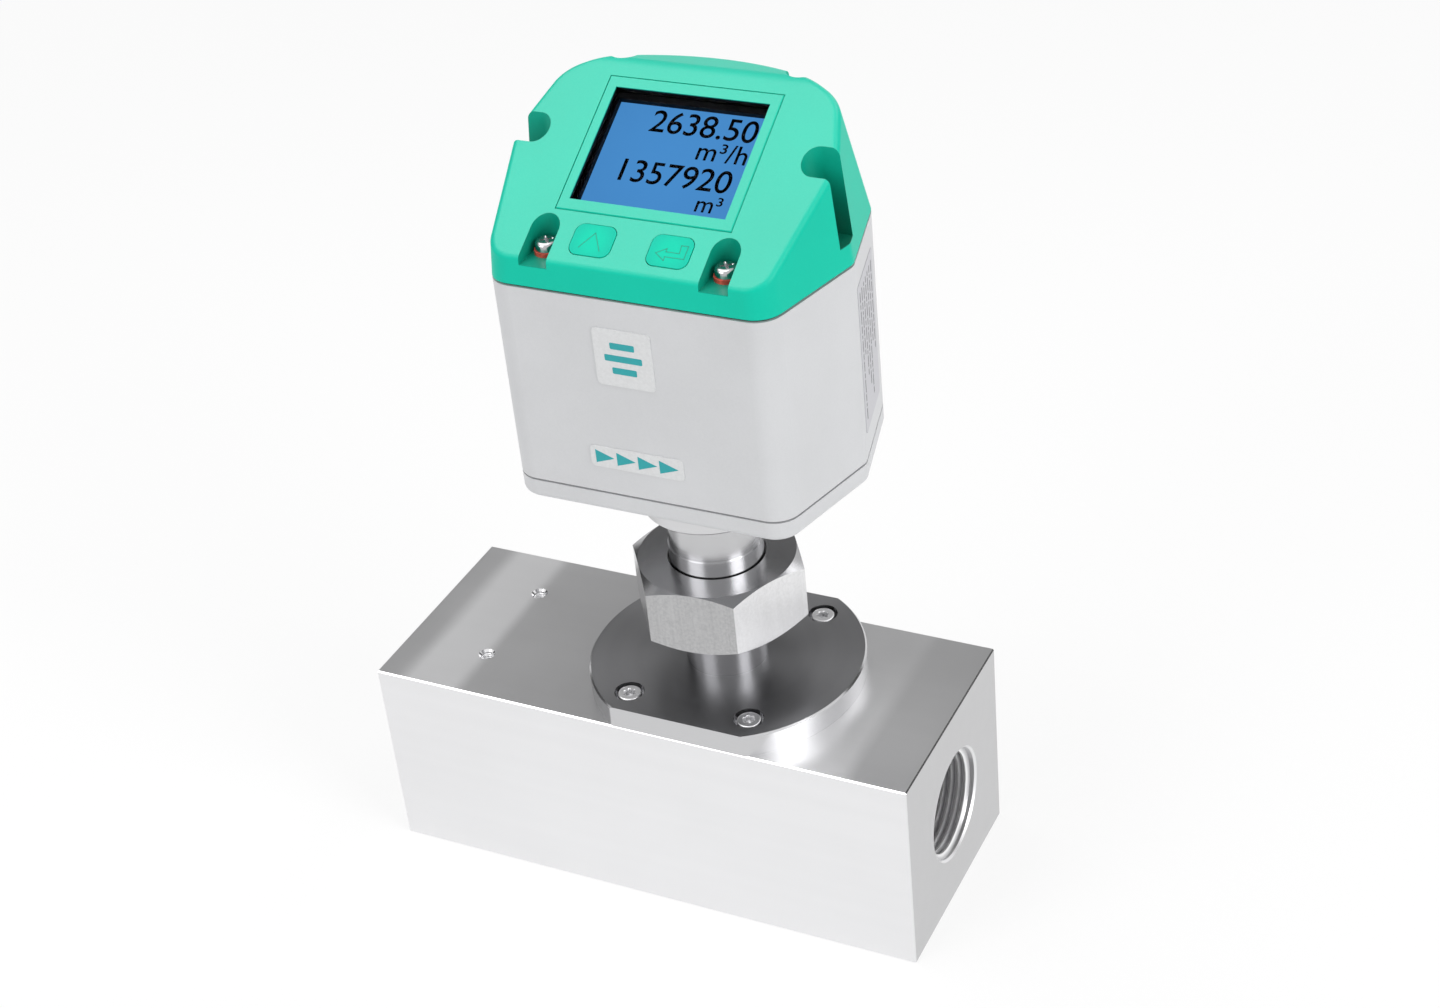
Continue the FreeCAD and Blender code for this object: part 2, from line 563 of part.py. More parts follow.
def measuring_block():
    """Square bar with the flow bore, both ports and the holes in its top face."""
    bar = box(BLOCK_LENGTH, BLOCK_WIDTH, 0, BLOCK_HEIGHT)
    bar = bar.makeChamfer(BLOCK_EDGE, bar.Edges)
    along = V(1, 0, 0)
    tools = [Part.makeCylinder(FLOW_DIA / 2, BLOCK_LENGTH, V(-BLOCK_LENGTH / 2, 0, FLOW_Z), along)]
    for side in (-1, 1):
        face = V(side * BLOCK_LENGTH / 2, 0, FLOW_Z)
        inward = V(-side, 0, 0)
        radius = PORT_DIA / 2
        tools.append(Part.makeCylinder(radius, PORT_DEPTH, face, inward))
        tools.append(Part.makeCone(radius + PORT_MOUTH, radius, PORT_MOUTH, face, inward))
    probe_hole = PROBE_DIA + 2 * PROBE_BORE_GAP
    spigot_hole = SPIGOT_DIA + 2 * SLIDE_FIT
    spigot_floor = BLOCK_HEIGHT - SPIGOT_DEPTH - SPIGOT_FLOOR_GAP
    tools.append(cylinder(probe_hole, FLOW_Z, BLOCK_HEIGHT, SENSOR_X))
    tools.append(cylinder(spigot_hole, spigot_floor, BLOCK_HEIGHT, SENSOR_X))
    screw_hole = FLANGE_SCREW_DIA + 2 * SLIDE_FIT
    screw_floor = FLANGE_TOP - FLANGE_SINK_DEPTH - FLANGE_SCREW_LENGTH - FLANGE_SCREW_DIA
    for x, y in corner_places(2 * FLANGE_SCREW_X, 2 * FLANGE_SCREW_Y):
        tools.append(cylinder(screw_hole, screw_floor, BLOCK_HEIGHT, SENSOR_X + x, y))
    tag_x = TAG_HOLE_FROM_INLET - BLOCK_LENGTH / 2
    for side in (-1, 1):
        tag_y = side * TAG_HOLE_SPACING / 2
        tools.append(cylinder(TAG_HOLE_DIA, BLOCK_HEIGHT - TAG_HOLE_DEPTH, BLOCK_HEIGHT, tag_x, tag_y))
        tools.append(Part.makeCone(TAG_HOLE_DIA / 2, TAG_HOLE_DIA / 2 + TAG_HOLE_MOUTH, TAG_HOLE_MOUTH,
                                   V(tag_x, tag_y, BLOCK_HEIGHT - TAG_HOLE_MOUTH)))
    return cut_all(bar, tools)


def sensor_flange():
    """Turned flange with two flats, a slim neck and the threaded collar for the union nut."""
    bore = PROBE_DIA / 2 + SLIDE_FIT
    rim = FLANGE_DIA / 2
    neck = NECK_DIA / 2
    collar = COLLAR_DIA / 2
    profile = [(bore, BLOCK_HEIGHT - SPIGOT_DEPTH), (SPIGOT_DIA / 2, BLOCK_HEIGHT - SPIGOT_DEPTH),
               (SPIGOT_DIA / 2, BLOCK_HEIGHT), (rim, BLOCK_HEIGHT), (rim, FLANGE_TOP - FLANGE_EDGE),
               (rim - FLANGE_EDGE, FLANGE_TOP), (neck, FLANGE_TOP), (neck, COLLAR_BOTTOM),
               (collar - COLLAR_EDGE, COLLAR_BOTTOM), (collar, COLLAR_BOTTOM + COLLAR_EDGE),
               (collar, COLLAR_TOP - COLLAR_EDGE), (collar - COLLAR_EDGE, COLLAR_TOP), (bore, COLLAR_TOP)]
    body = revolved(profile).common(box(2 * FLANGE_DIA, BLOCK_WIDTH, 0, SHOULDER_TOP))
    half_groove = FLANGE_RING_SECTION / 2 + FACE_GAP
    groove_top = BLOCK_HEIGHT + FLANGE_RING_SECTION
    groove = cylinder(FLANGE_RING_DIA + 2 * half_groove, BLOCK_HEIGHT, groove_top)
    groove = groove.cut(cylinder(FLANGE_RING_DIA - 2 * half_groove, BLOCK_HEIGHT, groove_top))
    tools = [groove]
    seat = FLANGE_TOP - FLANGE_SINK_DEPTH
    for x, y in corner_places(2 * FLANGE_SCREW_X, 2 * FLANGE_SCREW_Y):
        tools.append(cylinder(FLANGE_SINK_DIA, seat, FLANGE_TOP, x, y))
        tools.append(cylinder(FLANGE_SCREW_DIA + 4 * SLIDE_FIT, BLOCK_HEIGHT, seat, x, y))
    return cut_all(body, tools)


def flange_screws():
    """Four socket-head screws sunk in the flange."""
    seat = FLANGE_TOP - FLANGE_SINK_DEPTH
    crown = seat + FLANGE_HEAD_HEIGHT
    screws = []
    for x, y in corner_places(2 * FLANGE_SCREW_X, 2 * FLANGE_SCREW_Y):
        head = cylinder(FLANGE_HEAD_DIA, seat, crown, x, y)
        shank = cylinder(FLANGE_SCREW_DIA, seat - FLANGE_SCREW_LENGTH, seat, x, y)
        socket = hexagon(HEX_KEY, crown - HEX_KEY_DEPTH, crown, x, y)
        screws.append(head.fuse(shank).removeSplitter().cut(socket))
    return Part.makeCompound(screws)


def flange_seal():
    """Seal in the groove under the flange."""
    section = FLANGE_RING_SECTION - 2 * FACE_GAP
    return ring_seal(FLANGE_RING_DIA, section, BLOCK_HEIGHT + FLANGE_RING_SECTION / 2)


def union_nut():
    """Hexagonal union nut, chamfered at both ends, with an inner lip at the top."""
    corner = NUT_FLATS / math.sqrt(3)
    flat = NUT_FLATS / 2
    drop = (corner - flat) * math.tan(math.radians(NUT_CHAMFER_ANGLE))
    envelope = revolved([(0, NUT_BOTTOM), (flat, NUT_BOTTOM), (corner, NUT_BOTTOM + drop),
                         (corner, NUT_TOP - drop), (flat, NUT_TOP), (0, NUT_TOP)])
    nut = hexagon(NUT_FLATS, NUT_BOTTOM, NUT_TOP, corner_angle=NUT_CORNER_ANGLE).common(envelope)
    thread = COLLAR_DIA / 2 + 2 * SLIDE_FIT
    mouth = NUT_BOTTOM + COLLAR_EDGE
    lip = NUT_LIP_BORE / 2
    hollow = revolved([(0, NUT_BOTTOM), (thread + COLLAR_EDGE, NUT_BOTTOM), (thread, mouth), (thread, LIP_Z),
                       (lip, LIP_Z), (lip, NUT_TOP), (0, NUT_TOP)])
    return nut.cut(hollow)


def nut_slip_ring():
    """Flat ring under the nut's lip, which lifts with the nut but need not turn with it."""
    ring = cylinder(SLIP_RING_DIA, SLIP_RING_BOTTOM, SLIP_RING_TOP)
    hole = STEM_STEP_DIA + 4 * SLIDE_FIT
    return ring.cut(cylinder(hole, SLIP_RING_BOTTOM, SLIP_RING_TOP))


def probe_ring_heights():
    """Centre heights of the seals on the probe."""
    first = SHOULDER_BOTTOM - PROBE_RING_FROM_TOP
    return [first - index * PROBE_RING_PITCH for index in range(PROBE_RING_COUNT)]


def sensor_stem():
    """Hollow stem: probe length with seal grooves, clamping shoulder, stem and threaded tail."""
    step = NUT_TOP + STEM_STEP_ABOVE_NUT
    bore = STEM_BORE_DIA / 2
    profile = [(bore, PROBE_BOTTOM), (PROBE_DIA / 2, PROBE_BOTTOM), (PROBE_DIA / 2, SHOULDER_BOTTOM),
               (SHOULDER_DIA / 2, SHOULDER_BOTTOM), (SHOULDER_DIA / 2, SHOULDER_TOP),
               (STEM_STEP_DIA / 2, SHOULDER_TOP), (STEM_STEP_DIA / 2, step), (STEM_DIA / 2, step),
               (STEM_DIA / 2, STEM_SEAT), (STEM_TAIL_DIA / 2, STEM_SEAT), (STEM_TAIL_DIA / 2, STEM_TOP),
               (bore, STEM_TOP)]
    stem = revolved(profile)
    floor = PROBE_DIA - 2 * PROBE_RING_SECTION - 2 * SLIDE_FIT
    tools = []
    for height in probe_ring_heights():
        low = height - PROBE_RING_GROOVE / 2
        high = height + PROBE_RING_GROOVE / 2
        tools.append(cylinder(SHOULDER_DIA, low, high).cut(cylinder(floor, low, high)))
    return cut_all(stem, tools)


def probe_seals():
    """Sealing rings in the probe's grooves."""
    mean_dia = PROBE_DIA - PROBE_RING_SECTION
    return Part.makeCompound([ring_seal(mean_dia, PROBE_RING_SECTION, z) for z in probe_ring_heights()])


def element_places():
    """Upstream and downstream positions of the two sensing elements."""
    return [-ELEMENT_SPACING / 2, ELEMENT_SPACING / 2]


def element_span():
    """Lowest and highest point of a sensing element."""
    top = PROBE_BOTTOM + GUARD_PLUG_LENGTH - 2 * GUARD_EDGE
    return top - ELEMENT_LENGTH, top


def sensor_guard():
    """Slotted cage at the end of the probe, open along the flow."""
    end = FLOW_Z - GUARD_END_BELOW_FLOW_AXIS
    radius = GUARD_DIA / 2
    plug = STEM_BORE_DIA / 2 - SLIDE_FIT
    top = PROBE_BOTTOM + GUARD_PLUG_LENGTH
    cage = revolved([(0, end), (radius - GUARD_EDGE, end), (radius, end + GUARD_EDGE), (radius, PROBE_BOTTOM),
                     (plug, PROBE_BOTTOM), (plug, top), (0, top)])
    slot = plate(GUARD_SLOT_WIDTH, GUARD_SLOT_LENGTH, GUARD_SLOT_WIDTH / 2 - FACE_GAP, -FAR, FAR)
    slot.Placement = FreeCAD.Placement(V(0, 0, FLOW_Z), FreeCAD.Rotation(V(1, 1, 1), 120))
    low, high = element_span()
    holes = [cylinder(ELEMENT_DIA + 2 * SLIDE_FIT, low, high + SLIDE_FIT, x) for x in element_places()]
    return cut_all(cage, [slot] + holes)


def sensing_element(x):
    """Thin sensing element that hangs in the guard's slot."""
    low, high = element_span()
    return cylinder(ELEMENT_DIA, low, high, x)


def sensor_lead():
    """Lead inside the hollow stem, from the guard to the main board."""
    return cylinder(LEAD_DIA, PROBE_BOTTOM + GUARD_PLUG_LENGTH, BOARD_BOTTOM)


def base_screw_places():
    """Screws that hold the base plate, under the front and back columns."""
    return corner_places(2 * SCREW_X, 2 * SCREW_Y)


def neck_collar():
    """Turned collar between the stem and the base plate."""
    outer = NECK_OUTER_DIA / 2
    bore = STEM_TAIL_DIA / 2 + SLIDE_FIT
    socket = STEM_DIA / 2 + SLIDE_FIT
    return revolved([(socket, NECK_TIP), (outer - NECK_EDGE, NECK_TIP), (outer, NECK_TIP + NECK_EDGE),
                     (outer, BASE_BOTTOM), (bore, BASE_BOTTOM), (bore, STEM_SEAT), (socket, STEM_SEAT)])


def base_plate():
    """Bottom plate of the head, clamped between the neck collar and the lock nut."""
    slab = head_prism(0, BASE_BOTTOM, BASE_TOP)
    low_edges = [edge for edge in slab.Edges if edge.BoundBox.ZMax < BASE_BOTTOM + BASE_THICKNESS / 2]
    slab = slab.makeFillet(BASE_EDGE, low_edges)
    tools = [cylinder(STEM_TAIL_DIA + 2 * SLIDE_FIT, BASE_BOTTOM, BASE_TOP)]
    head = BASE_SCREW_HEAD_DIA + 4 * SLIDE_FIT
    for x, y in base_screw_places():
        tools.append(cylinder(BASE_SCREW_DIA + 4 * SLIDE_FIT, BASE_BOTTOM, BASE_TOP, x, y))
        tools.append(cylinder(head, BASE_BOTTOM, BASE_BOTTOM + BASE_SCREW_HEAD_HEIGHT, x, y))
    return cut_all(slab, tools)


def base_screws():
    """Four screws from below, heads sunk in the base plate."""
    seat = BASE_BOTTOM + BASE_SCREW_HEAD_HEIGHT
    screws = []
    for x, y in base_screw_places():
        head = cylinder(BASE_SCREW_HEAD_DIA, BASE_BOTTOM, seat, x, y)
        shank = cylinder(BASE_SCREW_DIA, seat, seat + BASE_SCREW_LENGTH, x, y)
        socket = hexagon(HEX_KEY, BASE_BOTTOM, BASE_BOTTOM + BASE_SCREW_HEAD_HEIGHT / 2, x, y)
        screws.append(head.fuse(shank).removeSplitter().cut(socket))
    return Part.makeCompound(screws)


def lock_nut():
    """Nut inside the head that clamps the base plate down on the stem."""
    nut = hexagon(LOCK_NUT_FLATS, BASE_TOP, BASE_TOP + LOCK_NUT_HEIGHT)
    return nut.cut(cylinder(STEM_TAIL_DIA + 2 * SLIDE_FIT, BASE_TOP, BASE_TOP + LOCK_NUT_HEIGHT))


def gasket(inset, width, bottom, top):
    """Flat gasket that follows the head outline."""
    return head_prism(inset, bottom, top).cut(head_prism(inset + width, bottom, top))


def housing():
    """Hexagonal shell with screw columns inside and two socket holes in its back wall."""
    outer = head_prism(0, HOUSING_BOTTOM, HOUSING_TOP)
    hollow = head_prism(HEAD_WALL, HOUSING_BOTTOM, HOUSING_TOP)
    for place in cover_screw_places():
        hollow = hollow.cut(u_prism(place, COLUMN_RADIUS, HOUSING_BOTTOM, HOUSING_TOP))
    tools = [hollow]
    screw_room = COVER_SCREW_LENGTH + COVER_SCREW_DIA
    for x, y, _ in cover_screw_places():
        tools.append(cylinder(INSERT_DIA + 2 * SLIDE_FIT, HOUSING_TOP - INSERT_LENGTH, HOUSING_TOP, x, y))
        tools.append(cylinder(COVER_SCREW_HOLE, HOUSING_TOP - screw_room, HOUSING_TOP, x, y))
    for x, y in base_screw_places():
        depth = HOUSING_BOTTOM + BASE_SCREW_LENGTH
        tools.append(cylinder(BASE_SCREW_DIA + 2 * SLIDE_FIT, HOUSING_BOTTOM, depth, x, y))
    for side in (-1, 1):
        hole = cylinder(SOCKET_DIA + 2 * SLIDE_FIT, BACK_INSIDE - HEAD_WALL, BACK_FACE + HEAD_WALL)
        tools.append(facing_back(hole, side * SOCKET_X, BASE_TOP + SOCKET_ABOVE_BASE))
    return cut_all(outer, tools)


def thread_inserts():
    """Six brass inserts at the top of the screw columns."""
    inserts = []
    bottom = HOUSING_TOP - INSERT_LENGTH
    for x, y, _ in cover_screw_places():
        sleeve = cylinder(INSERT_DIA, bottom, HOUSING_TOP, x, y)
        inserts.append(sleeve.cut(cylinder(COVER_SCREW_DIA + 2 * SLIDE_FIT, bottom, HOUSING_TOP, x, y)))
    return Part.makeCompound(inserts)


def rim_edges(shape, above):
    """Sharp edges above a height where a side wall meets the top."""
    chosen = []
    for edge in shape.Edges:
        if edge.BoundBox.ZMin < above:
            continue
        first, second = shape.ancestorsOfType(edge, Part.Face)[:2]
        middle = edge.valueAt((edge.FirstParameter + edge.LastParameter) / 2)
        normals = [face.normalAt(*face.Surface.parameter(middle)) for face in (first, second)]
        walls = [normal for normal in normals if abs(normal.z) < 0.5]
        if len(walls) == 1:
            chosen.append(edge)
    return chosen


def cover_form(inset, drop):
    """Drafted form of the cover, moved inwards by inset and down by drop."""
    top = COVER_BOTTOM + COVER_LOFT_HEIGHT
    loft = Part.makeLoft([head_wire(inset, COVER_BOTTOM), cover_wire(inset, top)], True, True)
    return loft.common(roof_block(drop))


def cover():
    """Moulded cover: sloping display face, six screw pockets, display opening and key holes."""
    outer = cover_form(0, 0)
    outer = outer.makeFillet(COVER_EDGE, rim_edges(outer, LEDGE_Z - POCKET_LEDGE / 2))
    hollow = cover_form(COVER_WALL, COVER_ROOF)
    pockets = []
    for place in cover_screw_places():
        hollow = hollow.cut(u_prism(place, POCKET_OUTER, COVER_BOTTOM, RIDGE_Z))
        pockets.append(u_prism(place, POCKET_RADIUS, LEDGE_Z, RIDGE_Z + RIDGE_RADIUS))
        pockets.append(cylinder(COVER_SCREW_HOLE, COVER_BOTTOM, LEDGE_Z, place[0], place[1]))
    shell = cut_all(outer, [hollow] + pockets)
    bosses = [on_face(cylinder(DISPLAY_BOSS_DIA, -DISPLAY_BOARD_FACE, -COVER_ROOF + FACE_GAP, x, y))
              for x, y in display_boss_places()]
    shell = fuse_all([shell] + bosses)
    gap = 2 * SEAT_GAP
    recess = 2 * FRAME_GAP
    openings = [box(FRAME_WIDTH + recess, FRAME_HEIGHT + recess, -FRAME_DEPTH, COVER_ROOF),
                box(WINDOW_WIDTH + 2 * SHROUD_BORDER, WINDOW_HEIGHT + 2 * SHROUD_BORDER, -2 * COVER_ROOF, 0)]
    for side in (-1, 1):
        openings.append(plate(KEY_WIDTH + gap, KEY_HEIGHT + gap, KEY_RADIUS + SEAT_GAP, -2 * COVER_ROOF,
                              COVER_ROOF, side * KEY_X, -KEY_BELOW_CENTRE))
    hole_top = DISPLAY_SCREW_GRIP - DISPLAY_BOARD_FACE + SEAT_GAP
    for x, y in display_boss_places():
        openings.append(cylinder(DISPLAY_SCREW_DIA + 2 * SLIDE_FIT, -DISPLAY_BOARD_FACE, hole_top, x, y))
    return cut_all(shell, [on_face(opening) for opening in openings])


def cover_screws():
    """Six pan-head screws with crossed recesses."""
    seat = LEDGE_Z + WASHER_THICKNESS
    crown = seat + COVER_HEAD_HEIGHT
    screws = []
    for x, y, _ in cover_screw_places():
        screw = pan_screw(COVER_HEAD_DIA, COVER_HEAD_HEIGHT, COVER_SCREW_DIA, COVER_SCREW_LENGTH, seat, x, y)
        cross = box(CROSS_LENGTH, CROSS_WIDTH, crown - CROSS_DEPTH, crown, x, y)
        cross = cross.fuse(box(CROSS_WIDTH, CROSS_LENGTH, crown - CROSS_DEPTH, crown, x, y))
        screws.append(screw.cut(cross))
    return Part.makeCompound(screws)


def seal_washers():
    """Six sealing washers under the cover screws."""
    top = LEDGE_Z + WASHER_THICKNESS
    washers = []
    for x, y, _ in cover_screw_places():
        disc = cylinder(WASHER_DIA, LEDGE_Z, top, x, y)
        washers.append(disc.cut(cylinder(COVER_SCREW_DIA + 2 * SLIDE_FIT, LEDGE_Z, top, x, y)))
    return Part.makeCompound(washers)


def pane_size():
    """Width and height of the window pane."""
    return WINDOW_WIDTH + 2 * PANE_BORDER, WINDOW_HEIGHT + 2 * PANE_BORDER


def window_frame():
    """Frame set in the cover, with a rebate for the pane behind its lip."""
    width, height = pane_size()
    frame = box(FRAME_WIDTH, FRAME_HEIGHT, -FRAME_DEPTH, FRAME_PROUD)
    frame = frame.makeChamfer(FRAME_EDGE, [edge for edge in frame.Edges if edge.BoundBox.ZMin > 0])
    frame = frame.cut(box(WINDOW_WIDTH, WINDOW_HEIGHT, -FRAME_DEPTH, FRAME_PROUD))
    rebate = box(width + SEAT_GAP, height + SEAT_GAP, -FRAME_DEPTH, -WINDOW_LIP)
    return on_face(frame.cut(rebate))


def window_pane():
    """Clear pane behind the frame's lip."""
    width, height = pane_size()
    return on_face(box(width, height, -PANE_BACK, -WINDOW_LIP))


def lcd_shroud():
    """Black shroud that lines the opening between the pane and the display."""
    sleeve_gap = SHROUD_BORDER - SEAT_GAP
    sleeve = box(WINDOW_WIDTH + 2 * sleeve_gap, WINDOW_HEIGHT + 2 * sleeve_gap, -LCD_FACE, -FRAME_DEPTH)
    flange = box(LCD_WIDTH, LCD_HEIGHT, -LCD_FACE, -COVER_ROOF)
    shroud = fuse_all([sleeve, flange])
    return on_face(shroud.cut(box(SHROUD_WIDTH, SHROUD_HEIGHT, -LCD_FACE, 0)))


def lcd_panel():
    """Display module between the shroud and its board."""
    return on_face(box(LCD_WIDTH, LCD_HEIGHT, -DISPLAY_BOARD_FACE, -LCD_FACE))


def display_boss_places():
    """Boss centres in the sloping face."""
    return [(side * DISPLAY_BOSS_X, y) for side in (-1, 1) for y in (DISPLAY_BOSS_TOP, -DISPLAY_BOSS_BOTTOM)]


def display_board():
    """Board behind the display, with a tongue that carries the key switches."""
    low = -DISPLAY_BOARD_BACK
    high = -DISPLAY_BOARD_FACE
    main_height = DISPLAY_BOARD_TOP + DISPLAY_BOARD_WAIST
    main = box(DISPLAY_BOARD_WIDTH, main_height, low, high, 0, DISPLAY_BOARD_TOP - main_height / 2)
    tongue = box(DISPLAY_TONGUE_WIDTH, DISPLAY_TONGUE_END, low, high, 0, -DISPLAY_TONGUE_END / 2)
    board = fuse_all([main, tongue])
    holes = [cylinder(DISPLAY_SCREW_DIA + 4 * SLIDE_FIT, low, high, x, y) for x, y in display_boss_places()]
    return on_face(cut_all(board, holes))


def display_screws():
    """Four screws that hold the display board to the cover's bosses."""
    screws = []
    seat = -DISPLAY_BOARD_BACK
    tip = DISPLAY_SCREW_GRIP - DISPLAY_BOARD_FACE
    for x, y in display_boss_places():
        head = cylinder(DISPLAY_SCREW_HEAD_DIA, seat - DISPLAY_SCREW_HEAD, seat, x, y)
        shank = cylinder(DISPLAY_SCREW_DIA, seat, tip, x, y)
        screws.append(on_face(head.fuse(shank).removeSplitter()))
    return Part.makeCompound(screws)


def key(side):
    """Key cap with a retaining flange behind the cover and a stem towards its switch."""
    x = side * KEY_X
    y = -KEY_BELOW_CENTRE
    flange_top = -COVER_ROOF - FACE_GAP
    flange_bottom = flange_top - KEY_FLANGE_THICKNESS
    stem_end = -SWITCH_FACE + KEY_TRAVEL + FACE_GAP
    cap = plate(KEY_WIDTH, KEY_HEIGHT, KEY_RADIUS, flange_top, KEY_PROUD, x, y)
    rim = [edge for edge in cap.Edges if edge.BoundBox.ZMin > 0]
    cap = cap.makeFillet(KEY_PROUD / 2, rim)
    flange = plate(KEY_WIDTH + 2 * KEY_FLANGE, KEY_HEIGHT + 2 * KEY_FLANGE, KEY_RADIUS, flange_bottom,
                   flange_top, x, y)
    stem = cylinder(KEY_STEM_DIA, stem_end, flange_bottom, x, y)
    return on_face(fuse_all([cap, flange, stem]))


def key_switches():
    """Two small switches on the display board behind the keys."""
    switches = []
    for side in (-1, 1):
        x = side * KEY_X
        body = box(SWITCH_SIZE, SWITCH_SIZE, -DISPLAY_BOARD_FACE, -SWITCH_FACE, x, -KEY_BELOW_CENTRE)
        switches.append(on_face(body))
    return Part.makeCompound(switches)


def main_board():
    """Main board on four spacers above the base plate."""
    board = plate(BOARD_WIDTH, BOARD_DEPTH, BOARD_RADIUS, BOARD_BOTTOM, BOARD_TOP)
    hole = BOARD_SCREW_DIA + 4 * SLIDE_FIT
    places = corner_places(BOARD_HOLE_X, BOARD_HOLE_Y)
    return cut_all(board, [cylinder(hole, BOARD_BOTTOM, BOARD_TOP, x, y) for x, y in places])


def board_spacers():
    """Four hexagonal spacers under the main board."""
    spacers = []
    for x, y in corner_places(BOARD_HOLE_X, BOARD_HOLE_Y):
        bar = hexagon(SPACER_FLATS, BASE_TOP, BOARD_BOTTOM, x, y)
        hole_bottom = BOARD_BOTTOM - BOARD_SCREW_GRIP - SEAT_GAP
        spacers.append(bar.cut(cylinder(BOARD_SCREW_DIA + 2 * SLIDE_FIT, hole_bottom, BOARD_BOTTOM, x, y)))
    return Part.makeCompound(spacers)


def board_screws():
    """Four screws on the main board."""
    length = BOARD_THICKNESS + BOARD_SCREW_GRIP
    return Part.makeCompound([
        pan_screw(BOARD_SCREW_HEAD_DIA, BOARD_SCREW_HEAD, BOARD_SCREW_DIA, length, BOARD_TOP, x, y)
        for x, y in corner_places(BOARD_HOLE_X, BOARD_HOLE_Y)])


def ribbon_cable():
    """Ribbon with a plug at each end, from the main board up to the display board."""
    top = DISPLAY_Z + FAR
    band = box(RIBBON_WIDTH, RIBBON_THICKNESS, BOARD_TOP, top, 0, RIBBON_Y)
    lower = box(PLUG_WIDTH, PLUG_DEPTH, BOARD_TOP, BOARD_TOP + PLUG_HEIGHT, 0, RIBBON_Y)
    under_board = on_face(box(FAR, FAR, -DISPLAY_BOARD_BACK - FAR, -DISPLAY_BOARD_BACK))
    near_board = on_face(box(FAR, FAR, -DISPLAY_BOARD_BACK - PLUG_HEIGHT, -DISPLAY_BOARD_BACK))
    upper = box(PLUG_WIDTH, PLUG_DEPTH, BOARD_TOP, top, 0, RIBBON_Y).common(near_board)
    return fuse_all([band.common(under_board), lower, upper])


def socket_height():
    """Height of the sockets' axes."""
    return BASE_TOP + SOCKET_ABOVE_BASE


def socket_flange_start():
    """Distance from the head's axis to the inner face of a socket's flange."""
    return BACK_FACE + SOCKET_WASHER


def socket_barrel(side):
    """Threaded socket barrel with a hexagonal flange outside the back wall."""
    tail = BACK_INSIDE - SOCKET_NUT_HEIGHT - SOCKET_TAIL
    tip = BACK_FACE + SOCKET_OUTSIDE
    start = socket_flange_start()
    barrel = fuse_all([cylinder(SOCKET_DIA, tail, tip), hexagon(SOCKET_FLATS, start, start + SOCKET_FLANGE)])
    barrel = barrel.cut(cylinder(SOCKET_BORE_DIA, tip - SOCKET_BORE_DEPTH, tip))
    return facing_back(barrel, side * SOCKET_X, socket_height())


def socket_contacts():
    """Contact pins standing in the two sockets."""
    floor = BACK_FACE + SOCKET_OUTSIDE - SOCKET_BORE_DEPTH
    step = 2 * math.pi / CONTACT_COUNT
    radius = CONTACT_CIRCLE_DIA / 2
    places = [(0.0, 0.0)]
    for index in range(CONTACT_COUNT):
        angle = (index + 0.5) * step
        places.append((radius * math.cos(angle), radius * math.sin(angle)))
    pins = []
    for side in (-1, 1):
        for x, y in places:
            pin = cylinder(CONTACT_DIA, floor, floor + CONTACT_LENGTH, x, y)
            pins.append(facing_back(pin, side * SOCKET_X, socket_height()))
    return Part.makeCompound(pins)


def socket_washers():
    """Seals between the sockets' flanges and the back wall."""
    washers = []
    for side in (-1, 1):
        disc = cylinder(SOCKET_FLATS, BACK_FACE, socket_flange_start())
        disc = disc.cut(cylinder(SOCKET_DIA + 2 * SLIDE_FIT, BACK_FACE, socket_flange_start()))
        washers.append(facing_back(disc, side * SOCKET_X, socket_height()))
    return Part.makeCompound(washers)


def socket_nuts():
    """Lock nuts on the sockets inside the back wall."""
    nuts = []
    inner = BACK_INSIDE - SOCKET_NUT_HEIGHT
    for side in (-1, 1):
        nut = hexagon(SOCKET_FLATS, inner, BACK_INSIDE)
        nut = nut.cut(cylinder(SOCKET_DIA + 2 * SLIDE_FIT, inner, BACK_INSIDE))
        nuts.append(facing_back(nut, side * SOCKET_X, socket_height()))
    return Part.makeCompound(nuts)


def pieces_on_sensor_axis():
    """Every piece that stands on the sensor axis, by name."""
    reference_x, heated_x = element_places()
    return {
        "sensor_flange": sensor_flange(),
        "flange_screws": flange_screws(),
        "flange_seal": flange_seal(),
        "union_nut": union_nut(),
        "nut_slip_ring": nut_slip_ring(),
        "sensor_stem": sensor_stem(),
        "probe_seals": probe_seals(),
        "sensor_guard": sensor_guard(),
        "reference_element": sensing_element(reference_x),
        "heated_element": sensing_element(heated_x),
        "sensor_lead": sensor_lead(),
        "neck_collar": neck_collar(),
        "base_plate": base_plate(),
        "base_screws": base_screws(),
        "stem_lock_nut": lock_nut(),
        "base_gasket": gasket(BASE_GASKET_INSET, BASE_GASKET_WIDTH, BASE_TOP, HOUSING_BOTTOM),
        "housing": housing(),
        "thread_inserts": thread_inserts(),
        "cover_gasket": gasket(COVER_GASKET_INSET, COVER_GASKET_WIDTH, HOUSING_TOP, COVER_BOTTOM),
        "cover": cover(),
        "cover_screws": cover_screws(),
        "seal_washers": seal_washers(),
        "window_frame": window_frame(),
        "window_pane": window_pane(),
        "lcd_shroud": lcd_shroud(),
        "lcd_panel": lcd_panel(),
        "display_board": display_board(),
        "display_screws": display_screws(),
        "key_up": key(-1),
        "key_enter": key(1),
        "key_switches": key_switches(),
        "main_board": main_board(),
        "board_spacers": board_spacers(),
        "board_screws": board_screws(),
        "ribbon_cable": ribbon_cable(),
        "socket_left": socket_barrel(-1),
        "socket_right": socket_barrel(1),
        "socket_contacts": socket_contacts(),
        "socket_washers": socket_washers(),
        "socket_nuts": socket_nuts(),
    }


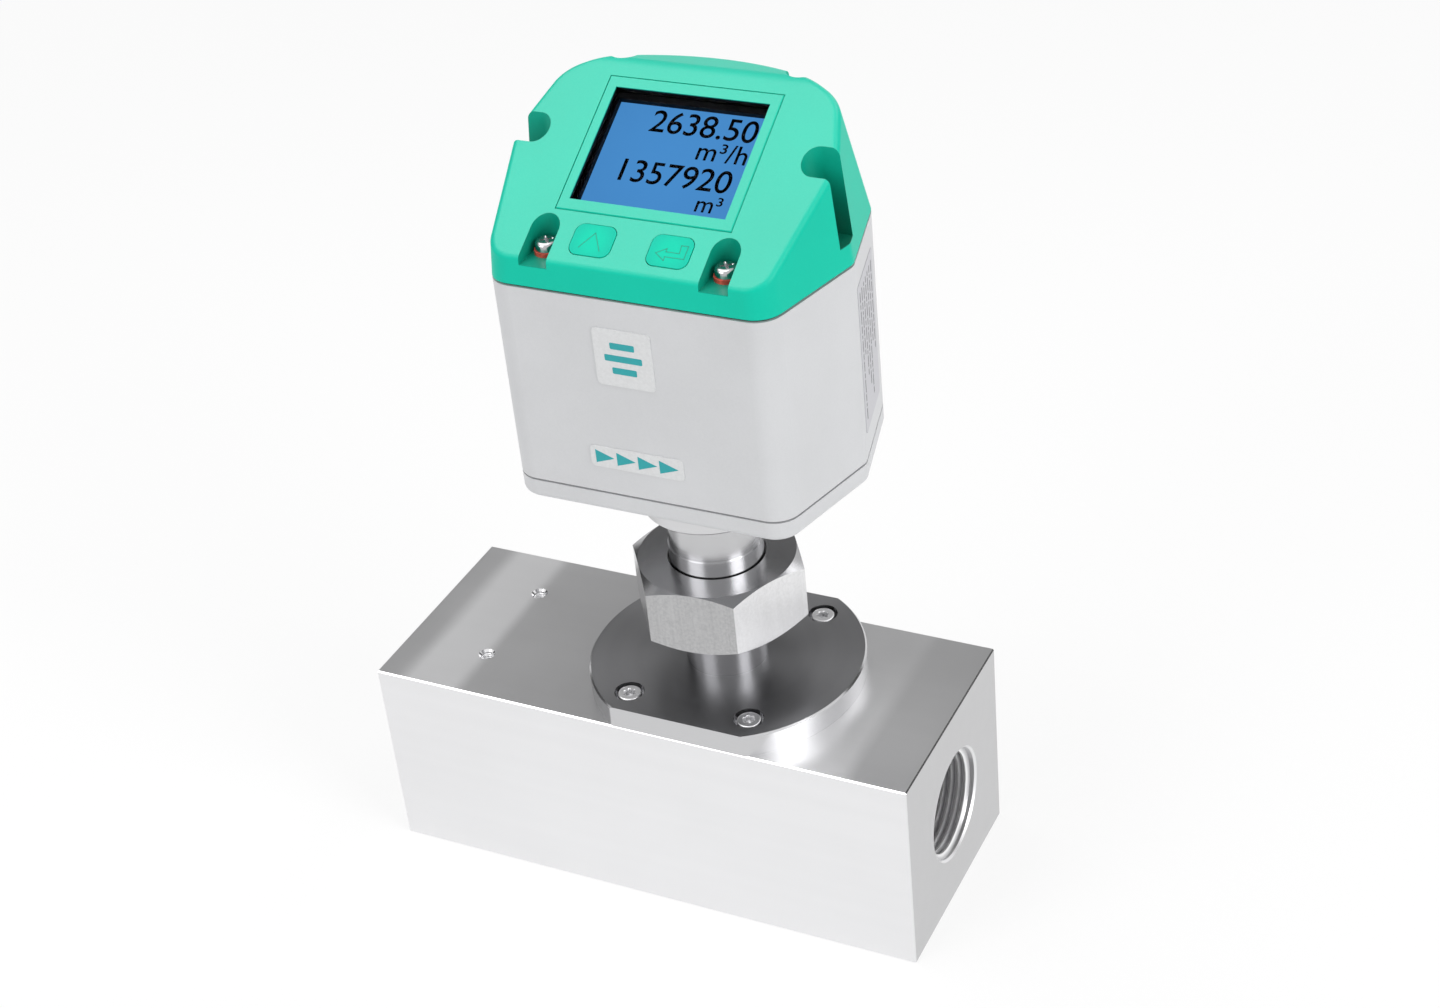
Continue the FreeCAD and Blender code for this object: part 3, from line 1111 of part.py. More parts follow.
def main():
    """Build every piece and write one file for each."""
    os.makedirs("parts", exist_ok=True)
    pieces = {"measuring_block": measuring_block()}
    for name, shape in pieces_on_sensor_axis().items():
        shape.translate(V(SENSOR_X, 0, 0))
        pieces[name] = shape
    for name, shape in pieces.items():
        shape.exportStep(os.path.join("parts", name + ".step"))
        state = "valid" if shape.isValid() else "not valid"
        print(name, len(shape.Solids), "solids", round(shape.Volume, 1), "mm3", state)


main()
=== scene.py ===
"""Looks of the inline flow meter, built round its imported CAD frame.

Lengths are metres in the part's own frame: +X is the flow direction, +Y the back and +Z up.
"""

import json
import logging
import math
from dataclasses import dataclass
from enum import Enum
from typing import Any, Callable, ClassVar, Dict, List, Optional, Sequence, Tuple, Union

import bmesh
import bpy
from mathutils import Matrix, Vector

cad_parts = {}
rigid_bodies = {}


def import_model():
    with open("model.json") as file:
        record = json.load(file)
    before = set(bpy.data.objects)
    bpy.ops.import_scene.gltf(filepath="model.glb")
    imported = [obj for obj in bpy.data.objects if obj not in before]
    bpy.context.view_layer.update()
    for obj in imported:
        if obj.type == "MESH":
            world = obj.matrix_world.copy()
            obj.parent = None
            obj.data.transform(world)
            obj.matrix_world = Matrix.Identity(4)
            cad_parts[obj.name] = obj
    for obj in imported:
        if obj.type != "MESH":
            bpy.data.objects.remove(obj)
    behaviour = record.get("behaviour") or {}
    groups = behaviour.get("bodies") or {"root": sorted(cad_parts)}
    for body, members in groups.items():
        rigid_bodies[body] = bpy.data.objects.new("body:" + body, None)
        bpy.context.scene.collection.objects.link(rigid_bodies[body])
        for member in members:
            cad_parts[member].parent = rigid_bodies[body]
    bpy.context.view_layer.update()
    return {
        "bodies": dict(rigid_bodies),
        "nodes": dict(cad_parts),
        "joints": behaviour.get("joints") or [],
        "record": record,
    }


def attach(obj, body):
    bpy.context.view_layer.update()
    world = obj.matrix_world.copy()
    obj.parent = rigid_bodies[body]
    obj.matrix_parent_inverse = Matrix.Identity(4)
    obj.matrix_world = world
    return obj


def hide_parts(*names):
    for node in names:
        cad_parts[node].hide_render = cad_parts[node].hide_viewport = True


Pair = Tuple[float, float]
Triple = Tuple[float, float, float]
Colour = Tuple[float, float, float, float]
Radius = Union[float, Callable[[float], float]]     # of a ring: one number, or a number by angle

LOG = logging.getLogger("flow_meter")
MM = 0.001
MERGE = 1e-7                    # points nearer than this become one
SMOOTH = 35.0                   # degrees below which an edge is shaded smooth
SENSOR_X = 12.5 * MM            # the sensor axis stands upright here
FLOW_Z = 25.0 * MM              # height of the flow axis
CASE_Y = 27.25 * MM             # front and back faces of the case, from the sensor axis
COVER_SCREW_X = 20.3 * MM       # corner screws of the cover, from the sensor axis
COVER_SCREW_Y = 20.4 * MM
COVER_SIDE_X = 31.9 * MM        # side screws of the cover, from the sensor axis
BLACK: Colour = (0.0, 0.0, 0.0, 1.0)
WHITE: Colour = (1.0, 1.0, 1.0, 1.0)


def shade(red: int, green: int, blue: int) -> Colour:
    """Gives the linear colour of an 8-bit screen colour.

    Args:
        red: Red, 0 to 255.
        green: Green, 0 to 255.
        blue: Blue, 0 to 255.

    Returns:
        The colour as the shaders take it.
    """
    linear = []
    for channel in (red, green, blue):
        part = channel / 255.0
        linear.append(part / 12.92 if part <= 0.04045 else ((part + 0.055) / 1.055) ** 2.4)
    return (linear[0], linear[1], linear[2], 1.0)


def grey(level: float, blue: float = 0.0) -> Colour:
    """Gives a grey, with a little more blue where it is asked for."""
    return (level, level, level + blue, 1.0)


def metal(level: float) -> Colour:
    """Gives the faintly blue grey of bare steel or aluminium."""
    return grey(level, 0.01)


def dimmed(colour: Colour, share: float) -> Colour:
    """Gives a colour at a share of its brightness."""
    return (colour[0] * share, colour[1] * share, colour[2] * share, 1.0)


class TreeWriter:
    """Writes nodes and links into one node tree."""

    def __init__(self, tree: bpy.types.NodeTree) -> None:
        """Takes the tree to write into."""
        self.tree = tree

    def node(self, kind: str, settings: Optional[Dict[str, Any]] = None,
             inputs: Optional[Dict[Union[str, int], Any]] = None) -> bpy.types.Node:
        """Adds one node.

        Args:
            kind: Blender's type name of the node.
            settings: Its properties, which are set first; "stops" fills a colour ramp.
            inputs: Values or links of its sockets, by name or number.

        Returns:
            The new node.
        """
        made = self.tree.nodes.new(kind)
        for key, value in (settings or {}).items():
            if key == "stops":
                self._write_stops(made.color_ramp, value)
            else:
                setattr(made, key, value)
        for key, value in (inputs or {}).items():
            self.feed(made.inputs[key], value)
        return made

    def feed(self, socket: bpy.types.NodeSocket, value: Any) -> None:
        """Links a socket to another, or sets its own value.

        Args:
            socket: The input to feed.
            value: A Value, a socket or a plain number, vector or colour.
        """
        source = value.socket if isinstance(value, Value) else value
        if isinstance(source, bpy.types.NodeSocket):
            self.tree.links.new(source, socket)
        else:
            socket.default_value = source

    @staticmethod
    def _write_stops(ramp: bpy.types.ColorRamp, stops: Sequence[Tuple[float, Colour]]) -> None:
        """Gives a colour ramp its stops, from the left.

        Args:
            ramp: The ramp to fill.
            stops: Place and colour of each stop.
        """
        while len(ramp.elements) < len(stops):
            ramp.elements.new(1.0)
        for element, (place, colour) in zip(ramp.elements, stops):
            element.position = place
            element.color = colour


class Value:
    """A number that varies over a surface, with plain arithmetic."""

    def __init__(self, writer: TreeWriter, socket: bpy.types.NodeSocket) -> None:
        """Wraps the socket that gives the number."""
        self.writer = writer
        self.socket = socket

    def math(self, operation: str, *operands: Any) -> "Value":
        """Adds a Math node of that operation and gives its result."""
        made = self.writer.node("ShaderNodeMath", {"operation": operation}, dict(enumerate(operands)))
        return Value(self.writer, made.outputs[0])

    def __add__(self, other: Any) -> "Value":
        """Sum."""
        return self.math("ADD", self, other)

    __radd__ = __add__

    def __sub__(self, other: Any) -> "Value":
        """Difference."""
        return self.math("SUBTRACT", self, other)

    def __rsub__(self, other: Any) -> "Value":
        """Difference the other way round."""
        return self.math("SUBTRACT", other, self)

    def __mul__(self, other: Any) -> "Value":
        """Product."""
        return self.math("MULTIPLY", self, other)

    def __truediv__(self, other: Any) -> "Value":
        """Quotient."""
        return self.math("DIVIDE", self, other)

    def __pow__(self, other: Any) -> "Value":
        """Power."""
        return self.math("POWER", self, other)

    def size(self) -> "Value":
        """Absolute value."""
        return self.math("ABSOLUTE", self)

    def larger(self, other: Any) -> "Value":
        """The larger of two numbers."""
        return self.math("MAXIMUM", self, other)

    def sine(self) -> "Value":
        """Sine of an angle in radians."""
        return self.math("SINE", self)

    def swing(self, amount: float) -> "Value":
        """Gives a number round 0.5 as a swing of that much round nothing."""
        return (self - 0.5) * amount

    def step(self, low: float, high: float) -> "Value":
        """Smooth step from 0 to 1.

        Args:
            low: Where the step starts.
            high: Where it ends; below low for a falling step.

        Returns:
            The step.
        """
        rising = high > low
        made = self.writer.node("ShaderNodeMapRange", {"interpolation_type": "SMOOTHSTEP"},
                                {"Value": self, "From Min": min(low, high), "From Max": max(low, high),
                                 "To Min": 0.0 if rising else 1.0, "To Max": 1.0 if rising else 0.0})
        return Value(self.writer, made.outputs["Result"])


class Surface(TreeWriter):
    """A material under construction: one Principled shader and what feeds it."""

    def __init__(self, name: str) -> None:
        """Starts an empty material of that name.

        Args:
            name: Name of the material.
        """
        self.material = bpy.data.materials.new(name)
        self.material.use_nodes = True
        super().__init__(self.material.node_tree)
        self.tree.nodes.clear()
        self.shader = self.node("ShaderNodeBsdfPrincipled")
        self.output = self.node("ShaderNodeOutputMaterial", None, {"Surface": self.shader.outputs[0]})
        self.place = self.node("ShaderNodeTexCoord").outputs["Object"]

    def dress(self, inputs: Dict[str, Any]) -> bpy.types.Material:
        """Feeds the shader and hands the material over.

        Args:
            inputs: Values or links of the shader's sockets, by name.

        Returns:
            The material.
        """
        for key, value in inputs.items():
            self.feed(self.shader.inputs[key], value)
        return self.material

    def axes(self, vector: Optional[bpy.types.NodeSocket] = None) -> List[Value]:
        """Splits a vector, or the place on the piece, into its three numbers."""
        made = self.node("ShaderNodeSeparateXYZ", None, {0: vector or self.place})
        return [Value(self, made.outputs[index]) for index in range(3)]

    def facing(self) -> List[Value]:
        """Gives the three numbers of the surface's own normal."""
        return self.axes(self.node("ShaderNodeTexCoord").outputs["Normal"])

    def round_sensor(self) -> Tuple[Value, Value, Value]:
        """Gives the place round the sensor axis.

        Returns:
            Its radius, its angle and its height.
        """
        x, y, z = self.axes()
        offset = x - SENSOR_X
        return (offset * offset + y * y) ** 0.5, y.math("ARCTAN2", y, offset), z

    def distance(self, point: Triple) -> Value:
        """Gives the distance from a point."""
        made = self.node("ShaderNodeVectorMath", {"operation": "DISTANCE"}, {0: self.place, 1: point})
        return Value(self, made.outputs["Value"])

    def join(self, x: Any, y: Any, z: Any) -> bpy.types.NodeSocket:
        """Joins three numbers into a vector."""
        return self.node("ShaderNodeCombineXYZ", None, {0: x, 1: y, 2: z}).outputs[0]

    def stretched(self, scale: Triple) -> bpy.types.NodeSocket:
        """Gives the place on the piece, scaled along each axis."""
        return self.node("ShaderNodeMapping", None, {"Vector": self.place, "Scale": scale}).outputs[0]

    def noise(self, vector: bpy.types.NodeSocket, scale: float, detail: float = 2.0) -> Value:
        """Gives cloudy noise round 0.5, with its scale in features per unit of the vector."""
        made = self.node("ShaderNodeTexNoise", None, {"Vector": vector, "Scale": scale, "Detail": detail})
        return Value(self, made.outputs[0])

    def mix(self, factor: Any, first: Any, second: Any) -> bpy.types.NodeSocket:
        """Mixes two colours; the factor is the second one's share."""
        made = self.node("ShaderNodeMix", {"data_type": "RGBA"}, {0: factor, 6: first, 7: second})
        return made.outputs[2]

    def bump(self, height: Value, distance: float, strength: float = 1.0) -> bpy.types.NodeSocket:
        """Gives the normal of a relief, in which a height of 1 is the distance in metres."""
        sockets = {"Height": height, "Distance": distance, "Strength": strength}
        return self.node("ShaderNodeBump", None, sockets).outputs[0]


@dataclass(frozen=True)
class SlopingFace:
    """Plane of the display and the keys: its middle and its tilt."""

    y: float = -1.7 * MM
    z: float = 183.2 * MM
    tilt: float = math.radians(30.0)
    key_x: float = 8.7 * MM         # middle of the right key, from the face's middle
    key_y: float = -22.9 * MM

    def place(self, height: float, x: float = 0.0, up: float = 0.0) -> Matrix:
        """Gives the matrix that lays a drawing on the face, shifted to the right and up the slope."""
        middle = Matrix.Translation((SENSOR_X, self.y, self.z))
        return middle @ Matrix.Rotation(self.tilt, 4, "X") @ Matrix.Translation((x, up, height))

    def key(self, side: int, height: float = 0.0) -> Matrix:
        """Gives the matrix that lays a drawing on the left key (side -1) or the right one (side 1)."""
        return self.place(height, side * self.key_x, self.key_y)

    def shaded(self, surface: Surface) -> Tuple[Value, Value, Value]:
        """Gives a shaded point's place on the face.

        Args:
            surface: The material under construction.

        Returns:
            Its place to the right, up the slope and over the face.
        """
        x, y, z = surface.axes()
        y = y - self.y
        z = z - self.z
        cosine = math.cos(self.tilt)
        sine = math.sin(self.tilt)
        return x - SENSOR_X, y * cosine + z * sine, z * cosine - y * sine


FACE = SlopingFace()
KEY_SIDES: Dict[str, int] = {"key_up": -1, "key_enter": 1}


class Lay(Enum):
    """Which way the tool marks of a metal surface run."""

    ALONG = "along the block"
    UPRIGHT = "upright"
    TURNED = "round the sensor axis"
    PLAIN = "no lines"


LINE_SCALES: Dict[Lay, Triple] = {      # the small number draws noise out into lines
    Lay.ALONG: (0.012, 1.0, 1.0), Lay.UPRIGHT: (1.0, 1.0, 0.02)}


@dataclass(frozen=True)
class Finish:
    """A finish: its name, and the record's slot that it stands for."""

    name: str
    slot: str

    def build(self) -> bpy.types.Material:
        """Makes the material."""
        raise NotImplementedError


@dataclass(frozen=True)
class LinedMetal(Finish):
    """Bare metal with fine tool marks."""

    colour: Colour
    roughness: float
    lay: Lay = Lay.PLAIN
    depth: float = 0.004 * MM       # height of the tool marks
    wander: float = 0.06            # how far the roughness varies
    tint: float = 0.06              # how far the tone varies
    fine: float = 5200.0            # lines per metre
    coarse: float = 900.0           # broader marks per metre
    clouds: float = 60.0            # stains per metre
    fine_share: float = 0.65        # fine lines in the relief, the rest is broader marks

    def build(self) -> bpy.types.Material:
        """Makes the material: fine and broad lines in the relief, the tone and the gloss.

        Returns:
            The material.
        """
        surface = Surface(self.name)
        where = self._along_lines(surface)
        fine = surface.noise(where, self.fine, 3.0)
        broad = surface.noise(where, self.coarse)
        cloud = surface.noise(surface.place, self.clouds, 3.0)
        tone = 0.8 + (broad.swing(self.tint) + cloud.swing(self.tint)) * 3.0
        colour = surface.mix(tone.step(0.2, 1.4), dimmed(self.colour, 1.0 - 2.0 * self.tint), self.colour)
        gloss = self.roughness + cloud.swing(self.wander) + fine.swing(self.wander)
        return self._bare(surface, colour, gloss, self._marks(fine, broad))

    def _along_lines(self, surface: Surface) -> bpy.types.NodeSocket:
        """Gives a place whose noise runs out into lines along the lay.

        Args:
            surface: The material under construction.

        Returns:
            The place, as a vector.
        """
        if self.lay in LINE_SCALES:
            return surface.stretched(LINE_SCALES[self.lay])
        if self.lay is Lay.TURNED:
            radius, _, z = surface.round_sensor()
            return surface.join(radius, z, 0.0)
        return surface.place

    def _marks(self, fine: Value, broad: Value) -> Value:
        """Gives the height of the tool marks."""
        return fine * self.fine_share + broad * (1.0 - self.fine_share)

    def _bare(self, surface: Surface, colour: bpy.types.NodeSocket, gloss: Value,
              marks: Value) -> bpy.types.Material:
        """Dresses a surface as bare metal with tool marks."""
        return surface.dress({"Base Color": colour, "Metallic": 1.0, "Roughness": gloss,
                              "Normal": surface.bump(marks, self.depth)})


@dataclass(frozen=True)
class MilledBar(LinedMetal):
    """Milled bar: painted bands of reflection and shade across its top, painted shade on its ends, bright
    broken edges.
    """

    length: float = 135.0 * MM
    height: float = 50.0 * MM
    painted_bands: Tuple[Pair, ...] = (     # place along the bar and brightness of the painted reflection bands
        (0.0, 0.3), (0.04, 0.35), (0.07, 0.85), (0.15, 0.8), (0.175, 0.3), (0.35, 0.15), (0.6, 0.3),
        (0.79, 1.0), (0.88, 0.95), (0.905, 0.5), (1.0, 0.3))
    waver: float = 0.02             # how far the bands' edges waver, as a share of the length
    rear_right_shade: float = 0.6               # painted shade towards the rear right of the top: how far the painted bands fade to their darkest there
    fade_x: Pair = (0.0, 20.0 * MM)
    fade_y: Pair = (-15.0 * MM, 20.0 * MM)
    painted_band_shade: float = 0.23         # painted shade between the painted reflection bands
    band_gloss: float = 0.13        # how much rougher a bright band is
    top_shade: float = 0.1           # painted shade over the whole top
    end_shade: float = 0.3           # painted shade on the ends
    edge_gloss: float = 0.21        # how much smoother the broken edges are
    square_on: Pair = (0.8, 0.95)   # normals that count as a face's own
    edge_from: Pair = (0.5, 0.65)   # upright part of the normal, where a broken edge starts
    edge_to: Pair = (0.9, 0.75)     # and where it ends
    shift_scale: Triple = (1.0, 0.15, 0.15)     # draws the wavering out across the bar
    shift_waves: float = 90.0       # per metre

    def build(self) -> bpy.types.Material:
        """Makes the material: lines along the bar, painted reflection bands and painted shade on top, painted
        shade on the ends and shiny edges.

        Returns:
            The material.
        """
        surface = Surface(self.name)
        where = self._along_lines(surface)
        fine = surface.noise(where, self.fine, 0.0)
        broad = surface.noise(where, self.coarse, 1.0)
        cloud = surface.noise(surface.place, self.clouds, 3.0)
        across, _, upright = surface.facing()
        top = upright.step(*self.square_on)
        end = across.size().step(*self.square_on)
        painted_band = self._painted_band(surface)
        # painted shade: the top darker, darker still between the painted reflection bands, and the ends
        # darker
        level = 1.0 - top * (self.top_shade + (1.0 - painted_band) * self.painted_band_shade) - end * self.end_shade
        tone = level * (0.97 + broad.swing(self.tint) + cloud.swing(self.tint))
        colour = surface.mix(tone, BLACK, self.colour)
        gloss = self.roughness + top * (painted_band - 0.25) * self.band_gloss + cloud.swing(self.wander)
        gloss = gloss - self._edge(surface, upright) * self.edge_gloss
        return self._bare(surface, colour, gloss, self._marks(fine, broad) * (1.0 - top))

    def _painted_band(self, surface: Surface) -> Value:
        """Gives the brightness of the painted reflection bands along the bar.

        Args:
            surface: The material under construction.

        Returns:
            The brightness, from 0 to 1.
        """
        x, y, _ = surface.axes()
        shift = surface.noise(surface.stretched(self.shift_scale), self.shift_waves).swing(self.waver)
        stops = [(place, grey(level)) for place, level in self.painted_bands]
        ramp = surface.node("ShaderNodeValToRGB", {"stops": stops}, {0: x / self.length + 0.5 + shift})
        # painted shade: the bands fade to their darkest towards the rear right
        rear_shade_mask = x.step(*self.fade_x) * y.step(*self.fade_y) * self.rear_right_shade
        return Value(surface, ramp.outputs[0]) * (1.0 - rear_shade_mask)

    def _edge(self, surface: Surface, upright: Value) -> Value:
        """Gives 1 on the broken edges round the top."""
        high = surface.axes()[2].step(self.height * 0.9, self.height * 0.95)
        return upright.step(*self.edge_from) * upright.step(*self.edge_to) * high


@dataclass(frozen=True)
class TurnedFlange(LinedMetal):
    """Turned flange: a top with rings, painted dark as shade and with painted highlight fans, and sides
    painted shaded at the neck and lighter towards the rim.
    """

    # The top's colour, the sides and the neck are lit and shaded tones of one steel: the top is painted dark
    # as shade, the neck darker than the rim as shade under the nut.
    sides: Colour = metal(0.58)
    shaded_neck: Colour = metal(0.45)
    neck_to_rim: Pair = (12.0 * MM, 20.0 * MM)      # radii between which the sides' painted tone goes from the shaded neck to the lighter rim
    highlight_fans: float = 5.0               # painted highlight fans round the axis
    between_highlights: float = 0.86          # brightness between the painted highlight fans
    fan_gloss: float = 0.04         # how much rougher a painted highlight fan is
    swirls: float = 40.0            # per metre, that bend the painted highlight fans
    swirl_bend: float = 3.0         # radians
    polish: float = 0.13            # how much smoother the sides are

    def build(self) -> bpy.types.Material:
        """Makes the material: rings in the relief, painted highlight fans on the top.

        Returns:
            The material.
        """
        surface = Surface(self.name)
        where = self._along_lines(surface)
        fine = surface.noise(where, self.fine, 0.0)
        broad = surface.noise(where, self.coarse, 1.0)
        radius, around, _ = surface.round_sensor()
        swirl = around * self.highlight_fans + surface.noise(surface.place, self.swirls) * self.swirl_bend
        fan_highlight = swirl.sine() * 0.5 + 0.5
        top = surface.facing()[2].step(0.7, 0.95)
        faced = surface.mix(fan_highlight * 0.5 + broad * 0.5, dimmed(self.colour, self.between_highlights), self.colour)
        sides = surface.mix(radius.step(*self.neck_to_rim), self.shaded_neck, self.sides)
        gloss = self.roughness + fan_highlight * self.fan_gloss * top + fine.swing(self.wander)
        gloss = gloss - (1.0 - top) * self.polish
        return self._bare(surface, surface.mix(top, sides, faced), gloss,
                          self._marks(fine, broad) * (1.0 - top))


@dataclass(frozen=True)
class RootedThread(Finish):
    """Pipe thread round the flow axis: bright crests over roots painted darker as shade."""

    colour: Colour
    root_shade: Colour
    crest: float = 12.1 * MM        # radius where the bright metal ends
    root: float = 13.1 * MM         # radius from which the roots are painted fully dark as shade
    roughness: float = 0.29
    wander: float = 0.04
    stains: float = 400.0           # per metre

    def build(self) -> bpy.types.Material:
        """Makes the material.

        Returns:
            The material.
        """
        surface = Surface(self.name)
        _, y, z = surface.axes()
        up = z - FLOW_Z
        radius = (y * y + up * up) ** 0.5
        # painted shade: darker from the crests down into the roots
        colour = surface.mix(radius.step(self.crest, self.root), self.colour, self.root_shade)
        stain = surface.noise(surface.place, self.stains)
        return surface.dress({"Base Color": colour, "Metallic": 1.0,
                              "Roughness": stain * self.wander + self.roughness})


@dataclass(frozen=True)
class NutSteel(Finish):
    """Bright nut: ground flats with upright marks, each flat painted lighter or darker as shade by the way it
    faces, and turned and polished chamfers.
    """

    colour: Colour
    polished: Colour
    roughness: float = 0.22
    depth: float = 0.003 * MM       # height of the marks
    flat_tone: float = 0.62         # mean brightness of the flats
    flat_shade_swing: float = 0.19        # painted shade: how far the tone differs with the way a flat faces
    flat_shade_lead: float = math.radians(25.0)
    grain_swing: float = 0.14       # how far it differs within a flat
    grinding: float = 2600.0        # upright marks per metre
    streaks: float = 420.0          # broader upright marks per metre
    rings: float = 3600.0           # turned marks per metre
    pits: float = 1500.0            # per metre

    def build(self) -> bpy.types.Material:
        """Makes the material: upright marks, pits and painted shade on the flats, rings on all else.

        Returns:
            The material.
        """
        surface = Surface(self.name)
        upright = surface.noise(surface.stretched((1.0, 1.0, 0.03)), self.grinding, 3.0)
        broad = surface.noise(surface.stretched((1.0, 1.0, 0.05)), self.streaks)
        radius, _, z = surface.round_sensor()
        rings = surface.noise(surface.join(radius, z, 0.0), self.rings)
        pits = surface.noise(surface.place, self.pits, 3.0)
        across, along, level = surface.facing()
        turn = (across.math("ARCTAN2", along, across) + self.flat_shade_lead) * 3.0
        grain = (upright * 0.25 + broad * 0.2 + pits * 0.55).step(0.2, 0.8)
        # painted shade: each flat is lighter or darker by the way it faces
        tone = grain * self.grain_swing + self.flat_tone + turn.math("COSINE", turn) * self.flat_shade_swing
        flat = level.size().step(0.45, 0.2)
        colour = surface.mix(flat, self.polished, surface.mix(tone, BLACK, self.colour))
        gloss = flat * broad.swing(0.1) + self.roughness + rings.swing(0.06)
        marks = flat * (upright * 0.4 + pits * 0.6) + (1.0 - flat) * rings
        return surface.dress({"Base Color": colour, "Metallic": 1.0, "Roughness": gloss,
                              "Normal": surface.bump(marks, self.depth)})


@dataclass(frozen=True)
class MouldedPlastic(Finish):
    """Injection-moulded plastic with a fine grain."""

    colour: Colour
    roughness: float
    grain: float = 2400.0           # grain per metre
    clouds: float = 45.0            # clouds per metre
    cloud_tone: float = 0.93        # brightness of the darker clouds
    relief: float = 0.006 * MM
    specular: float = 0.5
    sheen: float = 0.0              # extra gloss on what faces up
    sheen_roughness: float = 0.35

    def build(self) -> bpy.types.Material:
        """Makes the material: grain in the relief, faint clouds in the colour and the gloss.

        Returns:
            The material.
        """
        surface = Surface(self.name)
        grain = surface.noise(surface.place, self.grain)
        cloud = surface.noise(surface.place, self.clouds, 3.0)
        colour = surface.mix((cloud * 0.7 + grain * 0.3).step(0.25, 0.75),
                             dimmed(self.colour, self.cloud_tone), self.colour)
        colour = self._local(surface, colour)
        gloss = self.roughness + cloud.swing(0.06) + grain.swing(0.08)
        inputs = {"Base Color": colour, "Roughness": gloss, "Specular IOR Level": self.specular,
                  "Normal": surface.bump(grain, self.relief)}
        if self.sheen:
            upward = surface.facing()[2].step(0.35, 0.85)
            inputs.update({"Coat Weight": upward * self.sheen * (0.9 + grain * 0.2),
                           "Coat Roughness": self.sheen_roughness})
        return surface.dress(inputs)

    def _local(self, surface: Surface, colour: bpy.types.NodeSocket) -> bpy.types.NodeSocket:
        """Changes the colour in places; here it stays as it is."""
        return colour


@dataclass(frozen=True)
class KeyPlastic(MouldedPlastic):
    """Plastic of a key, with a painted highlight that makes its middle lighter and more saturated."""

    # middle of the painted highlight
    highlight_middle: Triple = (0.0, 0.0, 0.0)
    highlight_colour: Colour = shade(12, 206, 172)
    reach: Pair = (5.0 * MM, 1.5 * MM)      # from the middle, where the painted highlight starts and is full

    def _local(self, surface: Surface, colour: bpy.types.NodeSocket) -> bpy.types.NodeSocket:
        """Mixes the painted highlight's colour in towards the key's middle."""
        return surface.mix(surface.distance(self.highlight_middle).step(*self.reach), colour, self.highlight_colour)


@dataclass(frozen=True)
class CoverPlastic(MouldedPlastic):
    """Plastic of the cover, with painted shade in the six screw pockets and black inside the window."""

    # painted shade in the screw pockets
    pocket_shade: Colour = shade(2, 104, 82)
    radius: float = 3.2 * MM        # of a pocket
    ledge: Pair = (166.7 * MM, 167.0 * MM)      # heights between which the pockets' floor lies
    darker: Pair = (185.0 * MM, 169.0 * MM)     # heights between which the painted pocket shade deepens
    mask: Colour = (0.006, 0.006, 0.007, 1.0)
    mask_x: float = 19.2 * MM       # half the width that is masked in the window
    mask_y: float = 15.8 * MM       # half the height
    lip: float = 0.08 * MM          # plain edge of the window, below the sloping face
    throat: float = 3.2 * MM        # depth of the mask

    def _local(self, surface: Surface, colour: bpy.types.NodeSocket) -> bpy.types.NodeSocket:
        """Paints shade into the pockets and masks the window.

        Args:
            surface: The material under construction.
            colour: Colour of the plain plastic.

        Returns:
            The changed colour.
        """
        colour = surface.mix(self._pocket_shade_share(surface), colour, self.pocket_shade)
        right, up, over = FACE.shaded(surface)
        inside = right.size().step(self.mask_x, self.mask_x * 0.99)
        inside = inside * up.size().step(self.mask_y, self.mask_y * 0.99)
        below = over.step(-self.lip, -self.lip * 1.5) * over.step(-self.throat * 1.05, -self.throat)
        return surface.mix(inside * below, colour, self.mask)

    def _pocket_shade_share(self, surface: Surface) -> Value:
        """Finds the pockets and paints shade into them, deepest at the foot of the two at the sides.

        Args:
            surface: The material under construction.

        Returns:
            Share of the painted shade.
        """
        x, y, z = surface.axes()
        aside = (x - SENSOR_X).size()
        behind = y.size()
        side = self._inside(aside, behind, COVER_SIDE_X, 0.0)
        corner = self._inside(behind, aside, COVER_SCREW_Y, COVER_SCREW_X)
        return side.larger(corner * 0.6) * z.step(*self.ledge) * (z.step(*self.darker) * 0.6 + 0.4)

    def _inside(self, out: Value, across: Value, out_axis: float, across_axis: float) -> Value:
        """Gives 1 inside a U-shaped pocket, which is open outwards.

        Args:
            out: Place along the pocket's opening.
            across: Place across it.
            out_axis: Screw's place along the opening.
            across_axis: Screw's place across it.

        Returns:
            The mask.
        """
        inward = (out_axis - out).larger(0.0)
        aside = across - across_axis
        away = (inward * inward + aside * aside) ** 0.5
        return away.step(self.radius + 0.06 * MM, self.radius + 0.02 * MM)


@dataclass(frozen=True)
class Rubber(Finish):
    """Matt sealing rubber with a dusty bloom."""

    colour: Colour
    roughness: float = 0.62
    wander: float = 0.2
    dust: float = 900.0             # specks per metre
    relief: float = 0.01 * MM

    def build(self) -> bpy.types.Material:
        """Makes the material.

        Returns:
            The material.
        """
        surface = Surface(self.name)
        dust = surface.noise(surface.place, self.dust, 4.0)
        pale = tuple(min(1.0, part * 1.8 + 0.01) for part in self.colour)
        colour = surface.mix(dust.step(0.4, 0.8), self.colour, pale)
        return surface.dress({"Base Color": colour, "Roughness": self.roughness + dust * self.wander,
                              "Normal": surface.bump(dust, self.relief, 0.6)})


@dataclass(frozen=True)
class ClearPane(Finish):
    """Clear pane that gives no glare."""

    tint: Colour = (0.96, 0.97, 0.98, 1.0)
    film: float = 300.0             # clouds per metre

    def build(self) -> bpy.types.Material:
        """Makes the material.

        Returns:
            The material.
        """
        surface = Surface(self.name)
        colour = surface.mix(surface.noise(surface.place, self.film), self.tint, WHITE)
        return surface.dress({"Base Color": colour, "Roughness": 0.0, "Transmission Weight": 1.0, "IOR": 1.0})


